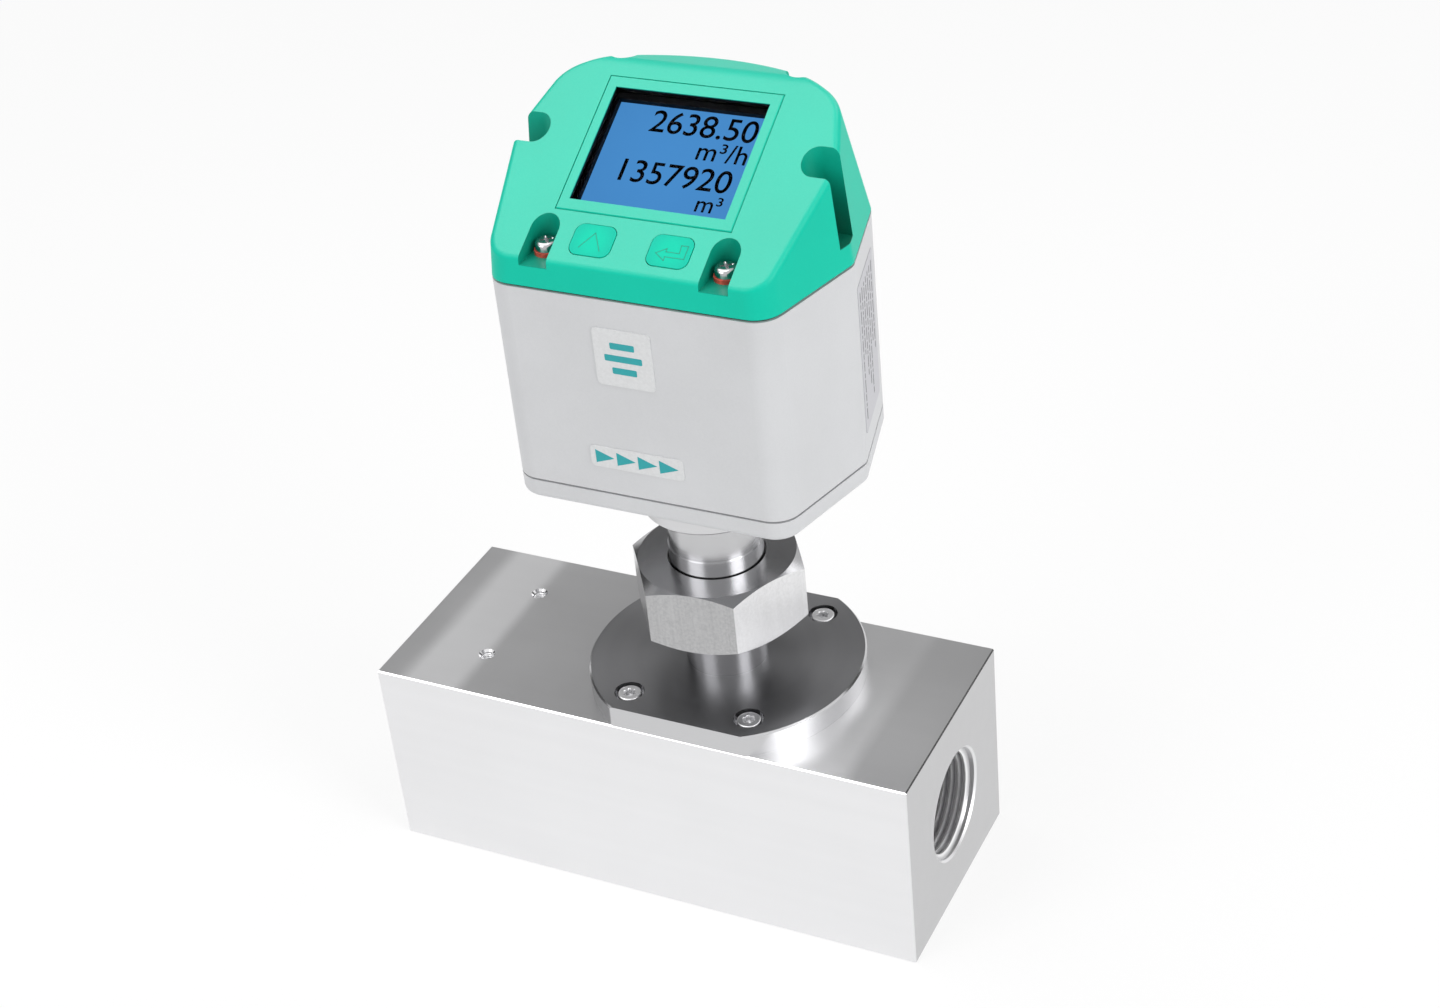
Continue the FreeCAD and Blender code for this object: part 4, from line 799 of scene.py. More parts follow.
@dataclass(frozen=True)
class LitDisplay(Finish):
    """Backlit display: a fine grid of dots and a slight fall of light to the edges."""

    colour: Colour
    pitch: float = 0.3 * MM         # from dot to dot
    edge: float = 0.86              # brightness at the edge
    reach: Pair = (4.0 * MM, 26.0 * MM)     # from the middle, where the light falls off

    def build(self) -> bpy.types.Material:
        """Makes the material.

        Returns:
            The material.
        """
        surface = Surface(self.name)
        x, y, _ = surface.axes()
        turn = math.tau / self.pitch
        dots = (x * turn).sine() * (y * turn).sine() * 0.5 + 0.5
        fall = surface.distance((SENSOR_X, FACE.y, FACE.z)).step(*self.reach)
        light = surface.mix(fall * 0.6 + dots * 0.12, self.colour, dimmed(self.colour, self.edge))
        return surface.dress({"Base Color": BLACK, "Roughness": 0.35 + dots * 0.05, "Emission Color": light,
                              "Emission Strength": 1.0, "Specular IOR Level": 0.0})


@dataclass(frozen=True)
class BoardLacquer(Finish):
    """Circuit board: lacquer over copper tracks."""

    lacquer: Colour
    copper: Colour
    tracks: float = 170.0           # per metre
    weave: float = 1500.0           # threads per metre
    relief: float = 0.02 * MM

    def build(self) -> bpy.types.Material:
        """Makes the material.

        Returns:
            The material.
        """
        surface = Surface(self.name)
        tracks = surface.node("ShaderNodeTexBrick", {"offset": 0.5},
                              {"Vector": surface.place, "Scale": self.tracks, "Mortar Size": 0.05})
        mask = Value(surface, tracks.outputs["Fac"])
        weave = surface.noise(surface.place, self.weave)
        colour = surface.mix(mask * 0.6 + weave * 0.1, self.lacquer, self.copper)
        return surface.dress({"Base Color": colour, "Roughness": 0.3 + weave * 0.15,
                              "Normal": surface.bump(mask, self.relief)})


@dataclass(frozen=True)
class StripedSheath(Finish):
    """Ribbon or braided sheath with stripes along it."""

    colour: Colour
    stripe: Colour
    pitch: float
    crossed: bool = False
    relief: float = 0.08 * MM

    def build(self) -> bpy.types.Material:
        """Makes the material.

        Returns:
            The material.
        """
        surface = Surface(self.name)
        x, y, z = surface.axes()
        turn = math.tau / self.pitch
        ridge = (x * turn).sine() * 0.5 + 0.5
        if self.crossed:
            ridge = ridge * (((z + y) * turn).sine() * 0.5 + 0.5)
        colour = surface.mix(ridge.step(0.2, 0.8), self.stripe, self.colour)
        return surface.dress({"Base Color": colour, "Roughness": 0.5 + ridge * 0.1,
                              "Normal": surface.bump(ridge, self.relief)})


@dataclass(frozen=True)
class PrintedFilm(Finish):
    """Thin printed or bare label film."""

    colour: Colour
    roughness: float = 0.42
    specular: float = 0.4
    wander: float = 0.08
    fibres: float = 1800.0          # per metre
    fibre_tone: float = 0.94        # brightness of the darker fibres
    relief: float = 0.004 * MM

    def build(self) -> bpy.types.Material:
        """Makes the material.

        Returns:
            The material.
        """
        surface = Surface(self.name)
        fibre = surface.noise(surface.place, self.fibres, 3.0)
        colour = surface.mix(fibre.step(0.3, 0.7), dimmed(self.colour, self.fibre_tone), self.colour)
        gloss = self.roughness + fibre.swing(self.wander)
        return surface.dress({"Base Color": colour, "Roughness": gloss, "Specular IOR Level": self.specular,
                              "Normal": surface.bump(fibre, self.relief)})


TEAL = shade(17, 197, 168)
PORT_THREAD = RootedThread("port_thread", "block_aluminium", grey(0.98), metal(0.55))
CUT_THREAD = LinedMetal("cut_thread", "block_aluminium", metal(0.86), 0.32, depth=0.0002 * MM)
POLISHED_SCREW = LinedMetal("polished_screw_steel", "screw_steel", metal(0.5), 0.18)
DISPLAY_INK = PrintedFilm("display_ink", "shroud_black", shade(8, 8, 10), 0.7, 0.0)
KEY_INK = PrintedFilm("key_mark_ink", "key_teal", shade(14, 150, 122), 0.5)
LABEL_FILM = PrintedFilm("label_film", "case_grey", shade(216, 217, 218))
LABEL_INK = PrintedFilm("label_ink", "key_teal", shade(36, 160, 165))
PLATE_FILM = PrintedFilm("plate_film", "case_grey", shade(190, 190, 195))
PLATE_INK = PrintedFilm("plate_ink", "case_grey", shade(88, 88, 93))

FINISHES: Dict[str, Finish] = {finish.slot: finish for finish in (
    MilledBar("brushed_aluminium", "block_aluminium", metal(0.84), 0.33, Lay.ALONG, 0.0015 * MM, wander=0.03,
              tint=0.03, fine=800.0, coarse=300.0, fine_share=0.9),
    TurnedFlange("turned_flange_steel", "flange_steel", metal(0.31), 0.3, Lay.TURNED, 0.0015 * MM,
                 wander=0.03, fine=800.0, coarse=300.0),
    NutSteel("bright_nut_steel", "nut_steel", metal(0.92), metal(0.37)),
    LinedMetal("polished_stem_steel", "stem_steel", metal(0.58), 0.2, Lay.TURNED, 0.006 * MM),
    LinedMetal("satin_collar_steel", "neck_steel", metal(0.7), 0.34, Lay.TURNED),
    LinedMetal("plated_screw_steel", "screw_steel", metal(0.74), 0.35),
    MouldedPlastic("grey_case_plastic", "case_grey", shade(206, 207, 209), 0.5),
    CoverPlastic("teal_cover_plastic", "cover_teal", TEAL, 0.44, relief=0.012 * MM, specular=0.1, sheen=0.75),
    ClearPane("clear_pane", "pane_clear"),
    MouldedPlastic("black_shroud_plastic", "shroud_black", grey(0.004, 0.001), 0.5, specular=0.08),
    LitDisplay("blue_display", "display_blue", shade(74, 142, 206)),
    BoardLacquer("green_board", "board_green", (0.01, 0.09, 0.035, 1.0), (0.3, 0.2, 0.08, 1.0)),
    MouldedPlastic("black_switch_plastic", "switch_black", grey(0.012), 0.4),
    Rubber("black_seal_rubber", "seal_black", grey(0.02, 0.001)),
    Rubber("red_fibre", "washer_red", shade(186, 72, 56)),
    LinedMetal("insert_brass", "insert_brass", (0.72, 0.53, 0.24, 1.0), 0.3),
    LinedMetal("socket_nickel", "socket_nickel", (0.7, 0.67, 0.62, 1.0), 0.22),
    LinedMetal("contact_gold", "contact_gold", (0.86, 0.64, 0.25, 1.0), 0.2),
    LinedMetal("element_steel", "element_steel", grey(0.6), 0.3, Lay.UPRIGHT),
    StripedSheath("braided_lead", "lead_grey", grey(0.2), grey(0.1), 0.6 * MM, True),
    StripedSheath("ribbon", "ribbon_grey", metal(0.45), metal(0.25), 1.0 * MM),
    MouldedPlastic("white_slip_plastic", "slip_white", (0.8, 0.8, 0.78, 1.0), 0.35),
)}


class FinishShelf:
    """Builds each finish once and hands it out."""

    def __init__(self) -> None:
        """Starts with nothing built."""
        self._built: Dict[str, bpy.types.Material] = {}

    def take(self, finish: Finish) -> bpy.types.Material:
        """Gives the material of a finish, made on first use.

        Args:
            finish: The finish that is wanted.

        Returns:
            Its material.
        """
        if finish.name not in self._built:
            self._built[finish.name] = finish.build()
        return self._built[finish.name]


class Bench:
    """Tools that turn sizes into meshes and meshes into objects of the scene."""

    @staticmethod
    def linked(name: str, data: Any) -> bpy.types.Object:
        """Puts an object with that data into the scene.

        Args:
            name: Name of the object.
            data: Its mesh, curve, camera or light.

        Returns:
            The object.
        """
        made = bpy.data.objects.new(name, data)
        bpy.context.scene.collection.objects.link(made)
        return made

    @staticmethod
    def evaluated(holder: bpy.types.Object) -> bpy.types.Mesh:
        """Gives the plain mesh that an object comes out as.

        Args:
            holder: An object with a modifier or with text.

        Returns:
            The mesh.
        """
        bpy.context.view_layer.update()
        graph = bpy.context.evaluated_depsgraph_get()
        return bpy.data.meshes.new_from_object(holder.evaluated_get(graph))

    @staticmethod
    def piece(name: str, mesh: bpy.types.Mesh, material: bpy.types.Material) -> bpy.types.Object:
        """Puts a mesh into the scene.

        Args:
            name: Name of the piece.
            mesh: Its mesh, already in place.
            material: Its finish.

        Returns:
            The new object.
        """
        mesh.name = name
        mesh.materials.clear()
        mesh.materials.append(material)
        return Bench.linked(name, mesh)

    @staticmethod
    def write(drawing: bmesh.types.BMesh, mesh: bpy.types.Mesh) -> None:
        """Merges doubles, turns the faces outwards and writes a drawing into a mesh.

        Args:
            drawing: What was drawn, which is then freed.
            mesh: Where it goes.
        """
        bmesh.ops.remove_doubles(drawing, verts=drawing.verts, dist=MERGE)
        bmesh.ops.recalc_face_normals(drawing, faces=drawing.faces)
        drawing.to_mesh(mesh)
        drawing.free()

    @staticmethod
    def clean(mesh: bpy.types.Mesh) -> None:
        """Merges doubles of a mesh and turns its faces outwards.

        Args:
            mesh: The mesh to clean.
        """
        drawing = bmesh.new()
        drawing.from_mesh(mesh)
        Bench.write(drawing, mesh)

    @staticmethod
    def smooth(mesh: bpy.types.Mesh, sharp: float = SMOOTH) -> None:
        """Shades a mesh smooth, apart from edges sharper than the angle in degrees."""
        mesh.polygons.foreach_set("use_smooth", [True] * len(mesh.polygons))
        mesh.set_sharp_from_angle(angle=math.radians(sharp))

    @staticmethod
    def mesh(name: str, draw: Callable[[bmesh.types.BMesh], None], sharp: float = SMOOTH) -> bpy.types.Mesh:
        """Makes a smooth-shaded mesh.

        Args:
            name: Name of the mesh.
            draw: Function that draws into an empty bmesh.
            sharp: Angle in degrees above which an edge stays sharp.

        Returns:
            The mesh, with doubles merged and faces pointing outwards.
        """
        drawing = bmesh.new()
        draw(drawing)
        made = bpy.data.meshes.new(name)
        Bench.write(drawing, made)
        Bench.smooth(made, sharp)
        return made

    @staticmethod
    def joined(name: str, parts: Sequence[bpy.types.Mesh]) -> bpy.types.Mesh:
        """Joins meshes into one of that name.

        Args:
            name: Name of the new mesh.
            parts: What is joined, and then removed.

        Returns:
            The mesh.
        """
        drawing = bmesh.new()
        for part in parts:
            drawing.from_mesh(part)
            bpy.data.meshes.remove(part)
        made = bpy.data.meshes.new(name)
        drawing.to_mesh(made)
        drawing.free()
        return made

    @staticmethod
    def sheet(name: str, width: float, height: float) -> bpy.types.Mesh:
        """Makes a flat rectangle round the origin.

        Args:
            name: Name of the mesh.
            width: Size along X.
            height: Size along Y.

        Returns:
            The mesh.
        """
        corners = [(x * width / 2, y * height / 2, 0.0) for x, y in ((-1, -1), (1, -1), (1, 1), (-1, 1))]
        return Bench.mesh(name, lambda drawing: drawing.faces.new(
            [drawing.verts.new(corner) for corner in corners]))

    @staticmethod
    def rings(drawing: bmesh.types.BMesh, stack: Sequence[Tuple[Radius, float]], segments: int,
              closed: bool = False) -> None:
        """Draws a skin through rings about the Z axis.

        Args:
            drawing: Where it is drawn.
            stack: Radius and height of each ring.
            segments: Corners of each ring.
            closed: True to join the last ring to the first, else both ends are capped.
        """
        rows = []
        for radius, height in stack:
            row = []
            for index in range(segments):
                angle = math.tau * index / segments
                reach = radius(angle) if callable(radius) else radius
                row.append(drawing.verts.new((reach * math.cos(angle), reach * math.sin(angle), height)))
            rows.append(row)
        pairs = list(zip(rows, rows[1:]))
        if closed:
            pairs.append((rows[-1], rows[0]))
        for low, high in pairs:
            for index in range(segments):
                after = (index + 1) % segments
                drawing.faces.new((low[index], low[after], high[after], high[index]))
        if not closed:
            drawing.faces.new(rows[0])
            drawing.faces.new(rows[-1])

    @staticmethod
    def prism(drawing: bmesh.types.BMesh, outline: Sequence[Pair], low: float, high: float,
              soften: float = 0.0) -> None:
        """Draws an upright prism on an outline.

        Args:
            drawing: Where it is drawn.
            outline: Corners in order.
            low: Height of the lower face.
            high: Height of the upper face.
            soften: Width of the bevel round the upper face.
        """
        floor = [drawing.verts.new((x, y, low)) for x, y in outline]
        roof = [drawing.verts.new((x, y, high)) for x, y in outline]
        top = drawing.faces.new(roof)
        drawing.faces.new(floor)
        count = len(outline)
        for index in range(count):
            after = (index + 1) % count
            drawing.faces.new((floor[index], floor[after], roof[after], roof[index]))
        if soften:
            bmesh.ops.bevel(drawing, geom=list(top.edges), offset=soften, segments=2, affect="EDGES")

    @staticmethod
    def rounded(width: float, height: float, radius: float, steps: int = 6) -> List[Pair]:
        """Gives the corners of a rounded rectangle round the origin.

        Args:
            width: Size along X.
            height: Size along Y.
            radius: Corner radius.
            steps: Edges per corner.

        Returns:
            Its corners, counter-clockwise.
        """
        points = []
        for side_x, side_y, turn in ((1, 1, 0.0), (-1, 1, 0.25), (-1, -1, 0.5), (1, -1, 0.75)):
            for step in range(steps + 1):
                angle = math.tau * (turn + 0.25 * step / steps)
                points.append((side_x * (width / 2 - radius) + radius * math.cos(angle),
                               side_y * (height / 2 - radius) + radius * math.sin(angle)))
        return points

    @staticmethod
    def label(name: str, width: float, height: float, corner: float, thickness: float) -> bpy.types.Mesh:
        """Makes a flat label round the origin, sunk in by a quarter of its thickness.

        Args:
            name: Name of the mesh.
            width: Size along X.
            height: Size along Y.
            corner: Corner radius.
            thickness: Height of its upper face.

        Returns:
            The mesh.
        """
        outline = Bench.rounded(width, height, corner)
        return Bench.mesh(name, lambda drawing: Bench.prism(
            drawing, outline, -thickness / 4, thickness, thickness / 2))


class Recipe:
    """A Geometry Nodes tree that is run once and becomes a plain mesh."""

    def __init__(self, name: str, sizes: Dict[str, str]) -> None:
        """Starts a tree.

        Args:
            name: Name of the tree.
            sizes: Named inputs and their socket types.
        """
        self.tree = bpy.data.node_groups.new(name, "GeometryNodeTree")
        self.keys = {label: self._socket(label, "INPUT", kind)
                     for label, kind in {"Geometry": "NodeSocketGeometry", **sizes}.items()}
        self._socket("Geometry", "OUTPUT", "NodeSocketGeometry")
        self.writer = TreeWriter(self.tree)
        self.given = self.writer.node("NodeGroupInput").outputs

    def _socket(self, label: str, side: str, kind: str) -> str:
        """Gives the tree an input or output, and gives the identifier of that socket."""
        return self.tree.interface.new_socket(label, in_out=side, socket_type=kind).identifier

    def end(self, geometry: bpy.types.NodeSocket) -> None:
        """Realizes what was made, gives it the finish and ends the tree.

        Args:
            geometry: What the tree made.
        """
        real = self.writer.node("GeometryNodeRealizeInstances", None, {0: geometry}).outputs[0]
        dressed = self.writer.node("GeometryNodeSetMaterial", None,
                                   {"Geometry": real, "Material": self.given["Finish"]}).outputs[0]
        self.writer.node("NodeGroupOutput", None, {0: dressed})

    def run(self, name: str, start: bpy.types.Mesh, values: Dict[str, Any]) -> bpy.types.Mesh:
        """Runs the tree.

        Args:
            name: Name of the new mesh.
            start: Mesh that goes in.
            values: Values of the named inputs.

        Returns:
            A plain mesh.
        """
        holder = Bench.linked(name + "_holder", start)
        modifier = holder.modifiers.new("recipe", "NODES")
        modifier.node_group = self.tree
        for label, value in values.items():
            modifier[self.keys[label]] = value
        made = Bench.evaluated(holder)
        holder.modifiers.remove(modifier)
        bpy.data.objects.remove(holder)
        made.name = name
        return made


class CopyRecipe(Recipe):
    """Sets copies of one template on points, each turned a little about its own Z axis."""

    def __init__(self) -> None:
        """Builds the tree."""
        super().__init__("copies_on_points", {"Template": "NodeSocketObject", "Turn": "NodeSocketFloat",
                                              "Seed": "NodeSocketInt", "Finish": "NodeSocketMaterial"})
        add = self.writer.node
        template = add("GeometryNodeObjectInfo", None, {"Object": self.given["Template"]})
        most = add("ShaderNodeCombineXYZ", None, {"Z": self.given["Turn"]})
        turn = add("FunctionNodeRandomValue", {"data_type": "FLOAT_VECTOR"},
                   {"Min": (0.0, 0.0, 0.0), "Max": most.outputs[0], "Seed": self.given["Seed"]})
        copies = add("GeometryNodeInstanceOnPoints", None,
                     {"Points": self.given["Geometry"], "Instance": template.outputs["Geometry"],
                      "Rotation": turn.outputs[0]})
        self.end(copies.outputs[0])

    def copies(self, name: str, template: bpy.types.Mesh, places: Sequence[Triple], turn: float, seed: int,
               material: bpy.types.Material) -> bpy.types.Mesh:
        """Makes one mesh of all the copies.

        Args:
            name: Name of the mesh.
            template: What is copied, round the origin.
            places: Where the copies go.
            turn: Most that a copy is turned, in radians.
            seed: Seed of the turns.
            material: Finish of the copies.

        Returns:
            The mesh.
        """
        points = bpy.data.meshes.new(name + "_points")
        points.from_pydata(places, [], [])
        model = Bench.piece(name + "_template", template, material)
        made = self.run(name, points, {"Template": model, "Turn": turn, "Seed": seed, "Finish": material})
        bpy.data.objects.remove(model)
        Bench.smooth(made)
        return made


@dataclass(frozen=True)
class ThreadForm:
    """Sizes of a screw thread."""

    inner: float                    # least radius of the ridge
    outer: float                    # greatest radius of the ridge
    pitch: float                    # rise per turn
    length: float
    root: float                     # width of the ridge at its foot
    crest: float                    # width of the ridge at its top
    outward: bool = False           # True on a bolt, False in a hole


class ThreadRecipe(Recipe):
    """Winds a trapezoid ridge into a screw thread about the Z axis."""

    STEPS = 96                      # corners per turn
    SHARP = 30.0                    # degrees above which an edge of the ridge stays sharp

    def __init__(self) -> None:
        """Builds the tree."""
        sizes = {label: "NodeSocketFloat"
                 for label in ("Radius", "Length", "Turns", "Height", "Root", "Crest", "Outward")}
        super().__init__("thread_ridge", {**sizes, "Finish": "NodeSocketMaterial"})
        add = self.writer.node
        given = self.given
        path = add("GeometryNodeCurveSpiral", None,
                   {"Resolution": self.STEPS, "Rotations": given["Turns"], "Start Radius": given["Radius"],
                    "End Radius": given["Radius"], "Height": given["Length"]})
        upright = add("GeometryNodeSetCurveNormal", {"mode": "Z_UP"}, {0: path.outputs[0]})
        ridge = add("GeometryNodeCurvePrimitiveQuadrilateral", {"mode": "TRAPEZOID"},
                    {"Height": given["Height"], "Bottom Width": given["Root"], "Top Width": given["Crest"],
                     "Offset": 0.0})
        turn = add("ShaderNodeCombineXYZ", None, {"Z": given["Outward"]})
        turned = add("GeometryNodeTransform", None,
                     {"Geometry": ridge.outputs[0], "Rotation": turn.outputs[0]})
        swept = add("GeometryNodeCurveToMesh", None,
                    {"Curve": upright.outputs[0], "Profile Curve": turned.outputs[0], "Fill Caps": True})
        self.end(swept.outputs[0])

    def wind(self, name: str, form: ThreadForm, material: bpy.types.Material) -> bpy.types.Mesh:
        """Makes one thread from the origin upwards.

        Args:
            name: Name of the mesh.
            form: Its sizes.
            material: Its finish.

        Returns:
            The mesh.
        """
        made = self.run(name, bpy.data.meshes.new(name + "_start"), {
            "Radius": (form.inner + form.outer) / 2, "Length": form.length, "Turns": form.length / form.pitch,
            "Height": form.outer - form.inner, "Root": form.root, "Crest": form.crest,
            "Outward": math.pi / 2 if form.outward else -math.pi / 2, "Finish": material})
        Bench.clean(made)
        Bench.smooth(made, self.SHARP)
        return made


@dataclass
class Tools:
    """What every sub-assembly works with."""

    shelf: FinishShelf
    copier: CopyRecipe
    thread: ThreadRecipe

    def settle(self, name: str, mesh: bpy.types.Mesh, finish: Finish, body: str, *replaced: str) -> None:
        """Puts a finished piece into the scene and lets it ride on a body.

        Args:
            name: Name of the piece.
            mesh: Its mesh, already in place.
            finish: Its finish.
            body: The body that it moves with.
            *replaced: CAD nodes that it stands for.
        """
        made = Bench.piece(name, mesh, self.shelf.take(finish))
        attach(made, body)
        if replaced:
            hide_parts(*replaced)
        LOG.info("%s rides on %s, %d faces", name, body, len(mesh.polygons))


@dataclass
class PortThreads:
    """Pipe threads in the two ends of the measuring block."""

    face: float = 67.5 * MM         # end faces, from the middle of the block
    start: float = 1.0 * MM         # middle of the first ridge behind the face
    form: ThreadForm = ThreadForm(inner=12.06 * MM, outer=13.27 * MM, pitch=1.814 * MM, length=15.8 * MM,
                                  root=1.56 * MM, crest=0.34 * MM)

    def build(self, tools: Tools) -> None:
        """Winds both threads and seats them in the block.

        Args:
            tools: Finishes and node trees to work with.
        """
        material = tools.shelf.take(PORT_THREAD)
        for name, side in (("inlet_thread", -1), ("outlet_thread", 1)):
            mesh = tools.thread.wind(name, self.form, material)
            turn = Matrix.Rotation(-side * math.pi / 2, 4, "Y")
            mesh.transform(Matrix.Translation((side * (self.face - self.start), 0.0, FLOW_Z)) @ turn)
            tools.settle(name, mesh, PORT_THREAD, "measuring_section")


@dataclass
class TagThreads:
    """Fine threads in the two small tapped holes on top of the block."""

    x: float = -45.5 * MM
    y: float = 13.0 * MM
    bottom: float = 43.5 * MM
    seed: int = 2
    form: ThreadForm = ThreadForm(inner=1.32 * MM, outer=1.52 * MM, pitch=0.5 * MM, length=5.7 * MM,
                                  root=0.44 * MM, crest=0.08 * MM)

    def build(self, tools: Tools) -> None:
        """Winds one thread and sets a copy in each hole.

        Args:
            tools: Finishes and node trees to work with.
        """
        material = tools.shelf.take(CUT_THREAD)
        ridge = tools.thread.wind("tag_thread", self.form, material)
        places = [(self.x, side * self.y, self.bottom) for side in (-1, 1)]
        mesh = tools.copier.copies("tag_threads", ridge, places, 0.0, self.seed, material)
        tools.settle("tag_threads", mesh, CUT_THREAD, "measuring_section")


@dataclass(frozen=True)
class ScrewShape:
    """A machine screw, head up, with the underside of its head at the origin."""

    head: float                     # radius of the head
    height: float
    crown: float                    # rounding of the head's upper edge
    dome: float                     # rise of the middle over the edge
    lobes: int                      # arms of the driving recess
    recess_in: float                # radius of the recess between its arms
    recess_out: float               # radius of the recess at its arms
    sharpness: float                # how pointed the arms are
    recess_depth: float
    taper: float                    # size of the recess floor against its mouth
    shank: float
    length: float
    lead_in: float = 0.12 * MM      # depth of the chamfer round the mouth
    flare: float = 1.06             # size of the chamfer against the mouth
    segments: int = 72
    crown_steps: int = 6
    sharp: float = 40.0             # degrees above which an edge stays sharp

    def mesh(self, name: str) -> bpy.types.Mesh:
        """Draws the screw and gives its mesh."""
        return Bench.mesh(name, self._draw, self.sharp)

    def _recess(self, scale: float) -> Radius:
        """Gives the outline of the recess, at a scale of its mouth.

        Args:
            scale: Size against the recess's mouth.

        Returns:
            Function that gives its radius by angle.
        """
        def radius(angle: float) -> float:
            """Reaches out at each arm."""
            arm = abs(math.cos(self.lobes * angle / 2)) ** self.sharpness
            return scale * (self.recess_in + (self.recess_out - self.recess_in) * arm)
        return radius

    def _level(self, radius: float) -> float:
        """Gives the height of the domed top at a radius."""
        return self.height - self.dome * (radius / self.head) ** 2

    def _draw(self, drawing: bmesh.types.BMesh) -> None:
        """Draws floor and wall of the recess, the crown, the rim and the shank.

        Args:
            drawing: Where it is drawn.
        """
        flat = self.head - self.crown
        mouth = self._level(self.recess_out)
        stack: List[Tuple[Radius, float]] = [
            (self._recess(self.taper * 0.5), mouth - self.recess_depth * 1.08),
            (self._recess(self.taper), mouth - self.recess_depth),
            (self._recess(1.0), mouth - self.lead_in), (self._recess(self.flare), mouth)]
        first = self.recess_out * 1.12
        for share in (0.6, 1.0):
            radius = first + (flat - first) * share
            stack.append((radius, self._level(radius)))
        edge = self._level(flat)
        for step in range(1, self.crown_steps + 1):
            angle = math.pi / 2 * step / self.crown_steps
            stack.append((flat + self.crown * math.sin(angle), edge - self.crown * (1 - math.cos(angle))))
        stack += [(self.head, 0.0), (self.shank, 0.0), (self.shank, -self.length)]
        Bench.rings(drawing, stack, self.segments)


class ScrewSet:
    """Equal screws in place of one node's plain solids, each turned at random."""

    NAME: ClassVar[str]             # name of one screw, and with an s of the node
    BODY: ClassVar[str]
    SEED: ClassVar[int]
    FINISH: ClassVar[Finish]
    shape: ScrewShape

    def build(self, tools: Tools) -> None:
        """Sets the screws in place of their plain solids.

        Args:
            tools: Finishes and node trees to work with.
        """
        name = self.NAME + "_set"
        mesh = tools.copier.copies(name, self.shape.mesh(self.NAME), self._places(), math.tau, self.SEED,
                                   tools.shelf.take(self.FINISH))
        tools.settle(name, mesh, self.FINISH, self.BODY, self.NAME + "s")

    def _places(self) -> List[Triple]:
        """Gives where the undersides of the heads sit."""
        raise NotImplementedError

    @staticmethod
    def _corners(x: float, y: float, z: float) -> List[Triple]:
        """Gives four places round the sensor axis."""
        return [(SENSOR_X + side * x, row * y, z) for side in (-1, 1) for row in (-1, 1)]


@dataclass
class FlangeScrews(ScrewSet):
    """Four sunk screws with six-lobed recesses that hold the sensor flange."""

    NAME = "flange_screw"
    BODY = "measuring_section"
    SEED = 4
    FINISH = FINISHES["screw_steel"]
    x: float = 15.01 * MM           # from the sensor axis
    y: float = 20.8 * MM
    seat: float = 52.1 * MM
    shape: ScrewShape = ScrewShape(
        head=2.75 * MM, height=3.0 * MM, crown=0.35 * MM, dome=0.0, lobes=6, recess_in=1.02 * MM,
        recess_out=1.42 * MM, sharpness=0.9, recess_depth=1.4 * MM, taper=0.92, shank=1.5 * MM,
        length=10.0 * MM)

    def _places(self) -> List[Triple]:
        """Gives the four seats in the flange."""
        return self._corners(self.x, self.y, self.seat)


@dataclass
class CoverScrews(ScrewSet):
    """Six pan-head screws with crossed recesses in the cover's pockets."""

    NAME = "cover_screw"
    BODY = "sensor_head"
    SEED = 11
    FINISH = POLISHED_SCREW
    seat: float = 167.9 * MM
    shape: ScrewShape = ScrewShape(
        head=2.5 * MM, height=2.1 * MM, crown=0.85 * MM, dome=0.28 * MM, lobes=4, recess_in=0.42 * MM,
        recess_out=1.5 * MM, sharpness=3.0, recess_depth=1.0 * MM, taper=0.5, shank=1.25 * MM,
        length=10.5 * MM)

    def _places(self) -> List[Triple]:
        """Gives the seats in the four corner pockets and the two side pockets."""
        sides = [(SENSOR_X + side * COVER_SIDE_X, 0.0, self.seat) for side in (-1, 1)]
        return self._corners(COVER_SCREW_X, COVER_SCREW_Y, self.seat) + sides


@dataclass(frozen=True)
class Reading:
    """One line on the display."""

    words: str
    height: float                   # height of its tallest sign
    right: float                    # right end, from the display's middle
    base: float                     # base line, from the display's middle


@dataclass
class DisplayReadings:
    """Figures and units on the display."""

    depth: float = 3.6 * MM         # display surface below the sloping face
    thickness: float = 0.04 * MM
    boldness: float = 0.004         # widening of the strokes, for signs of size 1
    lines: Tuple[Reading, ...] = (
        Reading("2638.50", 5.3 * MM, 15.4 * MM, 6.6 * MM), Reading("m³/h", 4.4 * MM, 15.2 * MM, 1.2 * MM),
        Reading("1357920", 5.3 * MM, 13.9 * MM, -5.9 * MM), Reading("m³", 3.9 * MM, 13.8 * MM, -10.9 * MM))

    def build(self, tools: Tools) -> None:
        """Sets all the lines as one thin piece on the display.

        Args:
            tools: Finishes and node trees to work with.
        """
        made = Bench.joined("display_readings", [self._lettering(line) for line in self.lines])
        made.transform(FACE.place(-self.depth))
        tools.settle("display_readings", made, DISPLAY_INK, "sensor_head")

    def _lettering(self, line: Reading) -> bpy.types.Mesh:
        """Makes one line of signs, set right-aligned on its base line.

        Args:
            line: The line to set.

        Returns:
            Its mesh.
        """
        curve = bpy.data.curves.new("reading", "FONT")
        curve.body = line.words
        curve.extrude = 0.5
        curve.offset = self.boldness
        holder = Bench.linked("reading", curve)
        mesh = Bench.evaluated(holder)
        bpy.data.objects.remove(holder)
        right = max(vert.co.x for vert in mesh.vertices)
        scale = line.height / max(vert.co.y for vert in mesh.vertices)
        mesh.transform(Matrix.Translation((line.right, line.base, self.thickness / 2)) @
                       Matrix.Diagonal((scale, scale, self.thickness, 1.0)) @
                       Matrix.Translation((-right, 0.0, 0.0)))
        Bench.clean(mesh)
        return mesh


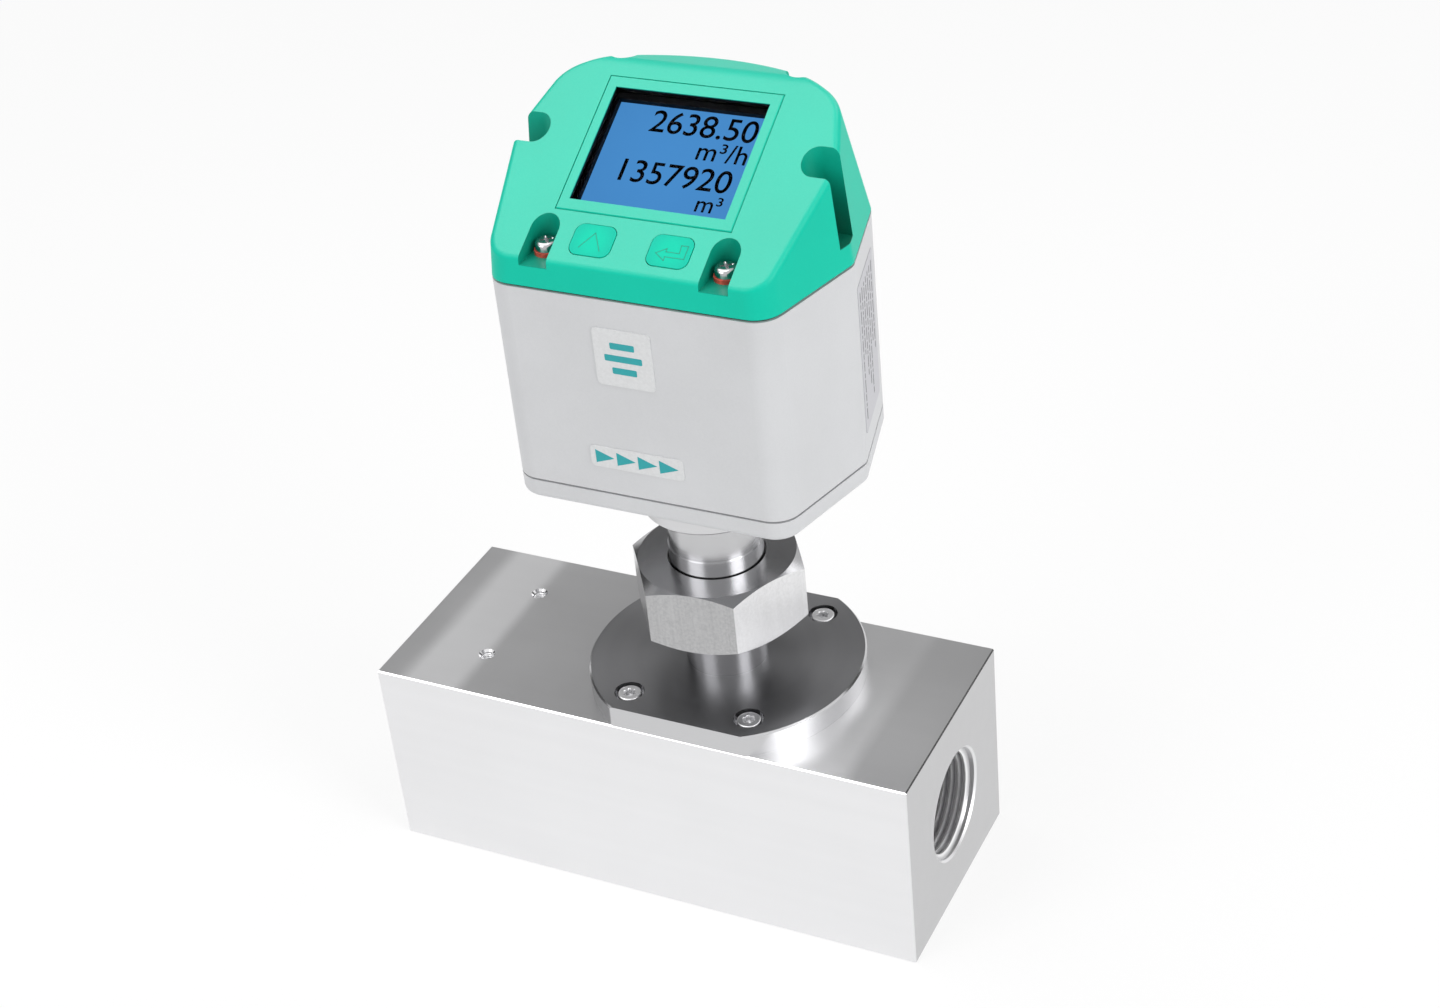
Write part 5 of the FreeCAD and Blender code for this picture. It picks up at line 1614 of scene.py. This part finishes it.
@dataclass
class KeyMarks:
    """Outline signs on the two keys: a chevron and an enter arrow."""

    top: float = 0.15 * MM          # key surface over the sloping face
    rise: float = 0.03 * MM
    stroke: float = 0.17 * MM
    chevron: Tuple[Pair, ...] = ((-2.45, -2.0), (0.05, 1.75), (2.35, -2.25))        # millimetres
    arrow: Tuple[Pair, ...] = (                                                     # millimetres
        (-2.9, -0.75), (-0.8, 0.55), (-0.8, -0.2), (2.2, -0.2), (2.0, 1.65), (3.55, 1.65), (3.55, -1.35),
        (-0.65, -1.35), (-0.65, -2.25), (-2.9, -0.75))

    def build(self, tools: Tools) -> None:
        """Draws both signs, each on its own key.

        Args:
            tools: Finishes and node trees to work with.
        """
        for body, sign in (("key_up", self.chevron), ("key_enter", self.arrow)):
            name = body + "_mark"
            mesh = Bench.mesh(name, lambda drawing, line=sign: self._strokes(drawing, line))
            mesh.transform(FACE.key(KEY_SIDES[body], self.top))
            tools.settle(name, mesh, KEY_INK, body)

    def _strokes(self, drawing: bmesh.types.BMesh, line: Sequence[Pair]) -> None:
        """Draws a thin bar along each run of a line, in millimetres.

        Args:
            drawing: Where it is drawn.
            line: Corners of the line, in millimetres.
        """
        for start, end in zip(line, line[1:]):
            first = Vector(start) * MM
            run = Vector(end) * MM - first
            along = run.normalized() * self.stroke / 2
            across = Vector((-along.y, along.x))
            first = first - along
            last = first + run + 2 * along
            outline = [first - across, last - across, last + across, first + across]
            Bench.prism(drawing, outline, -self.rise / 3, self.rise)


@dataclass
class FrontLabels:
    """Two small film labels on the front of the case: a plain mark and a flow arrow strip."""

    thickness: float = 0.22 * MM
    corner: float = 0.8 * MM
    ink: float = 0.03 * MM          # height of the print over the film, and its depth in it
    mark_x: float = -1.6 * MM       # from the sensor axis
    mark_z: float = 148.6 * MM
    mark_size: float = 13.3 * MM
    bar_widths: Triple = (5.6 * MM, 8.6 * MM, 5.6 * MM)
    bar_height: float = 1.5 * MM
    bar_pitch: float = 2.9 * MM
    bar_corner: float = 0.25 * MM
    strip_x: float = -1.45 * MM     # from the sensor axis
    strip_z: float = 123.8 * MM
    strip_width: float = 21.8 * MM
    strip_height: float = 5.1 * MM
    arrow_count: int = 4
    arrow_pitch: float = 5.0 * MM
    arrow_length: float = 4.4 * MM
    arrow_height: float = 3.2 * MM
    arrow_seed: int = 1

    def build(self, tools: Tools) -> None:
        """Sticks both labels on and prints them.

        Args:
            tools: Finishes and node trees to work with.
        """
        mark = self._upright(self.mark_x, self.mark_z)
        strip = self._upright(self.strip_x, self.strip_z)
        for name, place, width, height in (("mark_label", mark, self.mark_size, self.mark_size),
                                           ("arrow_label", strip, self.strip_width, self.strip_height)):
            mesh = Bench.label(name, width, height, self.corner, self.thickness)
            mesh.transform(place)
            tools.settle(name, mesh, LABEL_FILM, "sensor_head")
        for name, place, mesh in (("plain_mark", mark, Bench.mesh("plain_mark", self._bars)),
                                  ("flow_arrows", strip, self._arrows(tools))):
            mesh.transform(place)
            tools.settle(name, mesh, LABEL_INK, "sensor_head")

    def _upright(self, x: float, z: float) -> Matrix:
        """Gives the matrix that stands a flat drawing against the front face."""
        return Matrix.Translation((SENSOR_X + x, -CASE_Y, z)) @ Matrix.Rotation(math.pi / 2, 4, "X")

    def _print(self, drawing: bmesh.types.BMesh, outline: Sequence[Pair]) -> None:
        """Prints one outline on the film."""
        Bench.prism(drawing, outline, self.thickness - self.ink, self.thickness + self.ink)

    def _arrows(self, tools: Tools) -> bpy.types.Mesh:
        """Makes the row of arrow heads, which point downstream.

        Args:
            tools: Finishes and node trees to work with.

        Returns:
            The mesh.
        """
        half = self.arrow_length / 2
        outline = [(-half, -self.arrow_height / 2), (half, 0.0), (-half, self.arrow_height / 2)]
        arrow = Bench.mesh("flow_arrow", lambda drawing: self._print(drawing, outline))
        first = -self.arrow_pitch * (self.arrow_count - 1) / 2
        places = [(first + index * self.arrow_pitch, 0.0, 0.0) for index in range(self.arrow_count)]
        return tools.copier.copies("flow_arrows", arrow, places, 0.0, self.arrow_seed,
                                   tools.shelf.take(LABEL_INK))

    def _bars(self, drawing: bmesh.types.BMesh) -> None:
        """Draws three plain level bars, the middle one longest.

        Args:
            drawing: Where it is drawn.
        """
        for row, width in zip((1, 0, -1), self.bar_widths):
            bar = Bench.rounded(width, self.bar_height, self.bar_corner, 3)
            self._print(drawing, [(x, y + row * self.bar_pitch) for x, y in bar])


@dataclass
class SideLabel:
    """Bare data plate on the rear right face of the case, with upright rows of plain dashes."""

    corner_x: float = 38.4 * MM     # side corner of the case, from the sensor axis
    back_x: float = 31.6 * MM       # where the face ends at the back
    along: float = 11.3 * MM        # middle of the plate, from the side corner
    z: float = 138.0 * MM
    width: float = 18.6 * MM
    height: float = 35.0 * MM
    corner: float = 0.8 * MM
    thickness: float = 0.12 * MM
    ink: float = 0.02 * MM          # height of the print over the film, and its depth in it
    margin: float = 2.2 * MM
    stagger: float = 4.0 * MM       # by which some rows end earlier
    rows: int = 7
    dash: float = 0.62 * MM         # width of a dash
    gap: float = 0.5 * MM
    lengths: Tuple[float, ...] = (2.3, 1.1, 3.0, 1.6, 0.8, 2.6, 1.4)     # millimetres, in turn

    def build(self, tools: Tools) -> None:
        """Sticks the plate on and prints its dashes.

        Args:
            tools: Finishes and node trees to work with.
        """
        plate = Bench.label("data_plate", self.width, self.height, self.corner, self.thickness)
        dashes = Bench.mesh("data_plate_rows", self._rows)
        for name, mesh, finish in (("data_plate", plate, PLATE_FILM), ("data_plate_rows", dashes, PLATE_INK)):
            mesh.transform(self._place())
            tools.settle(name, mesh, finish, "sensor_head")

    def _place(self) -> Matrix:
        """Gives the matrix that stands a flat drawing against the rear right face.

        Returns:
            The matrix.
        """
        run = Vector((self.back_x - self.corner_x, CASE_Y, 0.0)).normalized()
        up = Vector((0.0, 0.0, 1.0))
        middle = Vector((SENSOR_X + self.corner_x, 0.0, self.z)) + run * self.along
        return Matrix.Translation(middle) @ Matrix((run, up, run.cross(up))).transposed().to_4x4()

    def _rows(self, drawing: bmesh.types.BMesh) -> None:
        """Draws the rows of dashes, which run down the plate and end at different heights.

        Args:
            drawing: Where it is drawn.
        """
        pitch = (self.width - 2 * self.margin) / (self.rows - 1)
        for row in range(self.rows):
            left = -self.width / 2 + self.margin + row * pitch - self.dash / 2
            right = left + self.dash
            start = -self.height / 2 + self.margin
            end = self.height / 2 - self.margin - self.stagger * (row * 3 % 4)
            turn = row * 2
            while start + self.lengths[turn % len(self.lengths)] * MM < end:
                stop = start + self.lengths[turn % len(self.lengths)] * MM
                outline = [(left, -stop), (right, -stop), (right, -start), (left, -start)]
                Bench.prism(drawing, outline, self.thickness - self.ink, self.thickness + self.ink)
                start = stop + self.gap
                turn += 1


@dataclass
class PlugSockets:
    """Two round plug sockets on the back: threaded barrel, six-sided flange, insulator."""

    x: float = 9.2 * MM             # from the sensor axis
    z: float = 136.0 * MM
    inside: float = 20.65 * MM      # rear end of the barrel inside the case
    tip: float = 39.75 * MM
    flange_start: float = 28.05 * MM
    flange_end: float = 30.55 * MM
    flange_bevel: float = 0.5 * MM
    flats: float = 14.0 * MM
    core: float = 5.42 * MM         # radius under the thread
    crest: float = 6.0 * MM         # radius over the thread
    pitch: float = 1.0 * MM
    ridge_root: float = 0.9 * MM
    ridge_crest: float = 0.14 * MM
    ridge_sunk: float = 0.05 * MM   # foot of the ridge below the core's surface
    thread_start: float = 0.7 * MM  # from the flange
    thread_end: float = 1.0 * MM    # from the tip
    edge: float = 0.35 * MM         # chamfers of the barrel
    bore: float = 4.3 * MM
    floor: float = 30.75 * MM
    cable_hole: float = 0.5 * MM    # radius of the hole behind the floor
    disc: float = 0.9 * MM          # thickness of the insulator
    disc_middle: float = 0.0001 * MM            # radius at which its faces close
    disc_gap: float = 0.02 * MM
    disc_bevel: float = 0.2 * MM
    disc_slope: float = 0.5 * MM    # how far the insulator's top is smaller than the bore
    rib_width: float = 1.2 * MM     # coding rib
    rib_rise: float = 0.7 * MM
    rib_foot: float = 0.5 * MM      # from the floor
    rib_end: float = 1.2 * MM       # from the tip
    rib_bevel: float = 0.1 * MM
    sharp: float = 32.0             # degrees above which an edge stays sharp
    segments: int = 72
    disc_segments: int = 48

    def build(self, tools: Tools) -> None:
        """Makes both sockets in place of their plain solids.

        Args:
            tools: Finishes and node trees to work with.
        """
        for node, side in (("socket_left", -1), ("socket_right", 1)):
            place = (Matrix.Translation((SENSOR_X + side * self.x, 0.0, self.z)) @
                     Matrix.Rotation(-math.pi / 2, 4, "X"))
            detail = self._shell(node, tools)
            insert = Bench.mesh(node + "_insulator", self._insulator)
            detail.transform(place)
            insert.transform(place)
            tools.settle(node + "_detail", detail, FINISHES["socket_nickel"], "sensor_head", node)
            tools.settle(node + "_insulator", insert, FINISHES["switch_black"], "sensor_head")

    def _shell(self, node: str, tools: Tools) -> bpy.types.Mesh:
        """Makes barrel, flange and thread as one mesh, upright on the origin.

        Args:
            node: Name of the CAD node.
            tools: Finishes and node trees to work with.

        Returns:
            The mesh.
        """
        start = self.flange_end + self.thread_start
        form = ThreadForm(inner=self.core - self.ridge_sunk, outer=self.crest, pitch=self.pitch,
                          length=self.tip - self.thread_end - start, root=self.ridge_root,
                          crest=self.ridge_crest, outward=True)
        thread = tools.thread.wind(node + "_thread", form, tools.shelf.take(FINISHES["socket_nickel"]))
        thread.transform(Matrix.Translation((0.0, 0.0, start)))
        made = Bench.joined(node + "_detail", [Bench.mesh(node + "_body", self._barrel),
                                               Bench.mesh(node + "_flange", self._flange), thread])
        Bench.smooth(made, self.sharp)
        return made

    def _barrel(self, drawing: bmesh.types.BMesh) -> None:
        """Draws the hollow barrel as one closed skin.

        Args:
            drawing: Where it is drawn.
        """
        profile = [(self.crest, self.inside), (self.crest, self.flange_end),
                   (self.core, self.flange_end + self.edge), (self.core, self.tip - self.edge),
                   (self.core - self.edge, self.tip), (self.bore + self.edge, self.tip),
                   (self.bore, self.tip - self.edge), (self.bore, self.floor), (self.cable_hole, self.floor),
                   (self.cable_hole, self.inside)]
        Bench.rings(drawing, profile, self.segments, True)

    def _flange(self, drawing: bmesh.types.BMesh) -> None:
        """Draws the six-sided flange, chamfered towards the plug.

        Args:
            drawing: Where it is drawn.
        """
        corner = self.flats / math.sqrt(3)
        angles = [math.tau * (step + 0.5) / 6 for step in range(6)]
        outline = [(corner * math.cos(angle), corner * math.sin(angle)) for angle in angles]
        Bench.prism(drawing, outline, self.flange_start, self.flange_end, self.flange_bevel)

    def _insulator(self, drawing: bmesh.types.BMesh) -> None:
        """Draws the insulating disc on the bore's floor and the coding rib on the bore's wall.

        Args:
            drawing: Where it is drawn.
        """
        rim = self.bore - self.disc_gap
        top = self.floor + self.disc
        profile = [(self.disc_middle, self.floor), (rim, self.floor), (rim, top - self.disc_bevel),
                   (self.bore - self.disc_slope, top), (self.disc_middle, top)]
        Bench.rings(drawing, profile, self.disc_segments)
        half = self.rib_width / 2
        foot = self.bore - self.rib_rise
        rib = [(-half, foot), (half, foot), (half, self.bore), (-half, self.bore)]
        Bench.prism(drawing, rib, self.floor + self.rib_foot, self.tip - self.rib_end, self.rib_bevel)


class NodeDresser:
    """Gives every CAD node that stays in view its finish."""

    def __init__(self, frame: Dict[str, Any]) -> None:
        """Takes the loaded frame."""
        self.frame = frame

    def build(self, tools: Tools) -> None:
        """Dresses the nodes one by one, by their slots in the record.

        Args:
            tools: Finishes and node trees to work with.
        """
        for name, node in self.frame["nodes"].items():
            slot = node.material_slots[0].material.name.split(".")[0]
            finish = self._key_finish(name, slot) if name in KEY_SIDES else FINISHES[slot]
            material = tools.shelf.take(finish)
            for holder in node.material_slots:
                holder.material = material
            LOG.info("%s is dressed in %s", name, material.name)

    @staticmethod
    def _key_finish(name: str, slot: str) -> Finish:
        """Gives the finish of one key, with its painted highlight in the middle of that key."""
        highlight_middle = tuple(FACE.key(KEY_SIDES[name]).translation)
        return KeyPlastic(name + "_plastic", slot, TEAL, 0.42, specular=0.08, sheen=0.04, highlight_middle=highlight_middle)


@dataclass(frozen=True)
class Panel:
    """A flat lamp or card that faces the part."""

    name: str
    place: Triple
    target: Triple                  # what it faces
    width: float
    height: float
    strength: float                 # watts of a lamp, brightness of a card

    def aim(self) -> Matrix:
        """Gives the matrix that turns -Z of a thing at the place towards the target."""
        look = Vector(self.target) - Vector(self.place)
        return Matrix.Translation(self.place) @ look.to_track_quat("-Z", "Y").to_matrix().to_4x4()


LOW = (0.0, 0.0, 0.06)          # just over the block, at the flange
MIDDLE = (0.0, 0.0, 0.1)        # middle of the part
HIGH = (0.0, 0.0, 0.12)         # foot of the head


@dataclass
class Studio:
    """Camera, floor, lamps and the cards that shape reflections."""

    eye: Triple = (0.23595, -0.40353, 0.39791)
    azimuth: float = math.radians(28.75)        # to the right of the front
    elevation: float = math.radians(33.19)
    roll: float = math.radians(-6.06)
    lens: float = 62.02             # millimetres, for the sensor's width
    sensor: float = 36.0
    near: float = 0.01              # nearest that the camera sees
    ambient: float = 0.32           # light of the world
    white: float = 1.0              # brightness of world and floor where they are seen
    floor_size: float = 12.0
    floor_colour: Colour = grey(0.95)
    veil: float = 0.75              # share of plain white in the floor near the part
    veil_reach: Pair = (0.35, 1.3)  # from the origin, where it grows to 1
    matt: float = 0.9               # roughness of floor and cards
    cards: Tuple[Panel, ...] = (
        Panel("back_card", (-0.5, 0.92, 0.82), LOW, 0.85, 0.48, 0.18),
        Panel("left_card", (-0.95, 0.3, 0.45), LOW, 1.0, 0.85, 0.1),
        Panel("right_card", (0.78, 1.02, 0.6), LOW, 0.7, 0.5, 0.1))
    lamps: Tuple[Panel, ...] = (
        Panel("overhead_softbox", (-0.3, -0.05, 1.15), HIGH, 0.9, 0.9, 6.2),
        Panel("front_softbox", (-0.55, -1.1, 0.75), MIDDLE, 0.8, 0.8, 5.4),
        Panel("back_softbox", (0.55, 0.95, 1.2), MIDDLE, 0.6, 0.6, 2.6),
        Panel("right_softbox", (1.25, -0.35, 0.65), MIDDLE, 0.7, 0.8, 9.8))

    def build(self) -> None:
        """Sets up the whole studio."""
        scene = bpy.context.scene
        scene.view_settings.view_transform = "Standard"
        self._camera(scene)
        self._world(scene)
        self._floor()
        for card in self.cards:
            self._card(card)
        for lamp in self.lamps:
            self._lamp(lamp)

    def _camera(self, scene: bpy.types.Scene) -> None:
        """Puts the camera where the photograph was taken from.

        Args:
            scene: The scene that gets it.
        """
        flat = math.cos(self.elevation)
        rise = math.sin(self.elevation)
        level = Vector((math.cos(self.azimuth), math.sin(self.azimuth), 0.0))
        back = Vector((level.y * flat, -level.x * flat, rise))
        right = level * math.cos(self.roll) + back.cross(level) * math.sin(self.roll)
        turn = Matrix((right, back.cross(right), back)).transposed().to_4x4()
        data = bpy.data.cameras.new("camera")
        data.sensor_fit = "HORIZONTAL"
        data.sensor_width = self.sensor
        data.lens = self.lens
        data.clip_start = self.near
        camera = Bench.linked("camera", data)
        camera.matrix_world = Matrix.Translation(self.eye) @ turn
        scene.camera = camera

    @staticmethod
    def _seen(writer: TreeWriter) -> Value:
        """Gives 1 for rays from the camera, from gloss and through glass, and 0 for light itself.

        Args:
            writer: Tree of the world or of a material.

        Returns:
            The number.
        """
        path = writer.node("ShaderNodeLightPath").outputs
        camera, gloss, glass = [Value(writer, path["Is " + kind + " Ray"])
                                for kind in ("Camera", "Glossy", "Transmission")]
        return camera.larger(gloss).larger(glass)

    def _world(self, scene: bpy.types.Scene) -> None:
        """Makes a white world that gives less light than it shows.

        Args:
            scene: The scene that gets it.
        """
        world = bpy.data.worlds.new("white_studio")
        world.use_nodes = True
        scene.world = world
        writer = TreeWriter(world.node_tree)
        world.node_tree.nodes.clear()
        strength = self._seen(writer) * (self.white - self.ambient) + self.ambient
        background = writer.node("ShaderNodeBackground", None, {"Color": WHITE, "Strength": strength})
        writer.node("ShaderNodeOutputWorld", None, {"Surface": background.outputs[0]})

    def _floor(self) -> None:
        """Lays a wide pale floor that keeps the shadow."""
        surface = Surface("pale_floor")
        surface.dress({"Base Color": self.floor_colour, "Roughness": self.matt, "Specular IOR Level": 0.0})
        lit = surface.node("ShaderNodeEmission", None, {"Color": WHITE, "Strength": self.white})
        x, y, _ = surface.axes()
        far = ((x * x + y * y) ** 0.5).step(*self.veil_reach)
        veil = self._seen(surface) * (self.veil + far * (1.0 - self.veil))
        both = surface.node("ShaderNodeMixShader", None,
                            {0: veil, 1: surface.shader.outputs[0], 2: lit.outputs[0]})
        surface.feed(surface.output.inputs["Surface"], both.outputs[0])
        mesh = Bench.sheet("floor", self.floor_size, self.floor_size)
        Bench.piece("floor", mesh, surface.material)

    def _card(self, panel: Panel) -> None:
        """Hangs a grey card that only reflections show.

        Args:
            panel: Its place, size and brightness.
        """
        material = Surface(panel.name).dress({
            "Base Color": BLACK, "Roughness": self.matt, "Specular IOR Level": 0.0, "Emission Color": WHITE,
            "Emission Strength": panel.strength})
        mesh = Bench.sheet(panel.name, panel.width, panel.height)
        mesh.transform(panel.aim())
        card = Bench.piece(panel.name, mesh, material)
        card.visible_camera = False
        card.visible_diffuse = False
        card.visible_shadow = False

    @staticmethod
    def _lamp(panel: Panel) -> None:
        """Hangs a softbox.

        Args:
            panel: Its place, size and power.
        """
        data = bpy.data.lights.new(panel.name, "AREA")
        data.shape = "RECTANGLE"
        data.size = panel.width
        data.size_y = panel.height
        data.energy = panel.strength
        lamp = Bench.linked(panel.name, data)
        lamp.matrix_world = panel.aim()
        lamp.visible_camera = False


def clear_scene() -> None:
    """Removes what a new Blender file starts with."""
    for thing in list(bpy.data.objects):
        bpy.data.objects.remove(thing)


def main() -> None:
    """Builds the meter round its frame, sub-assembly by sub-assembly."""
    logging.basicConfig(level=logging.INFO, format="%(message)s")
    clear_scene()
    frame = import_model()
    Studio().build()
    tools = Tools(FinishShelf(), CopyRecipe(), ThreadRecipe())
    for assembly in (NodeDresser(frame), PortThreads(), TagThreads(), FlangeScrews(), CoverScrews(),
                     DisplayReadings(), KeyMarks(), FrontLabels(), SideLabel(), PlugSockets()):
        assembly.build(tools)


if __name__ == "__main__":
    main()
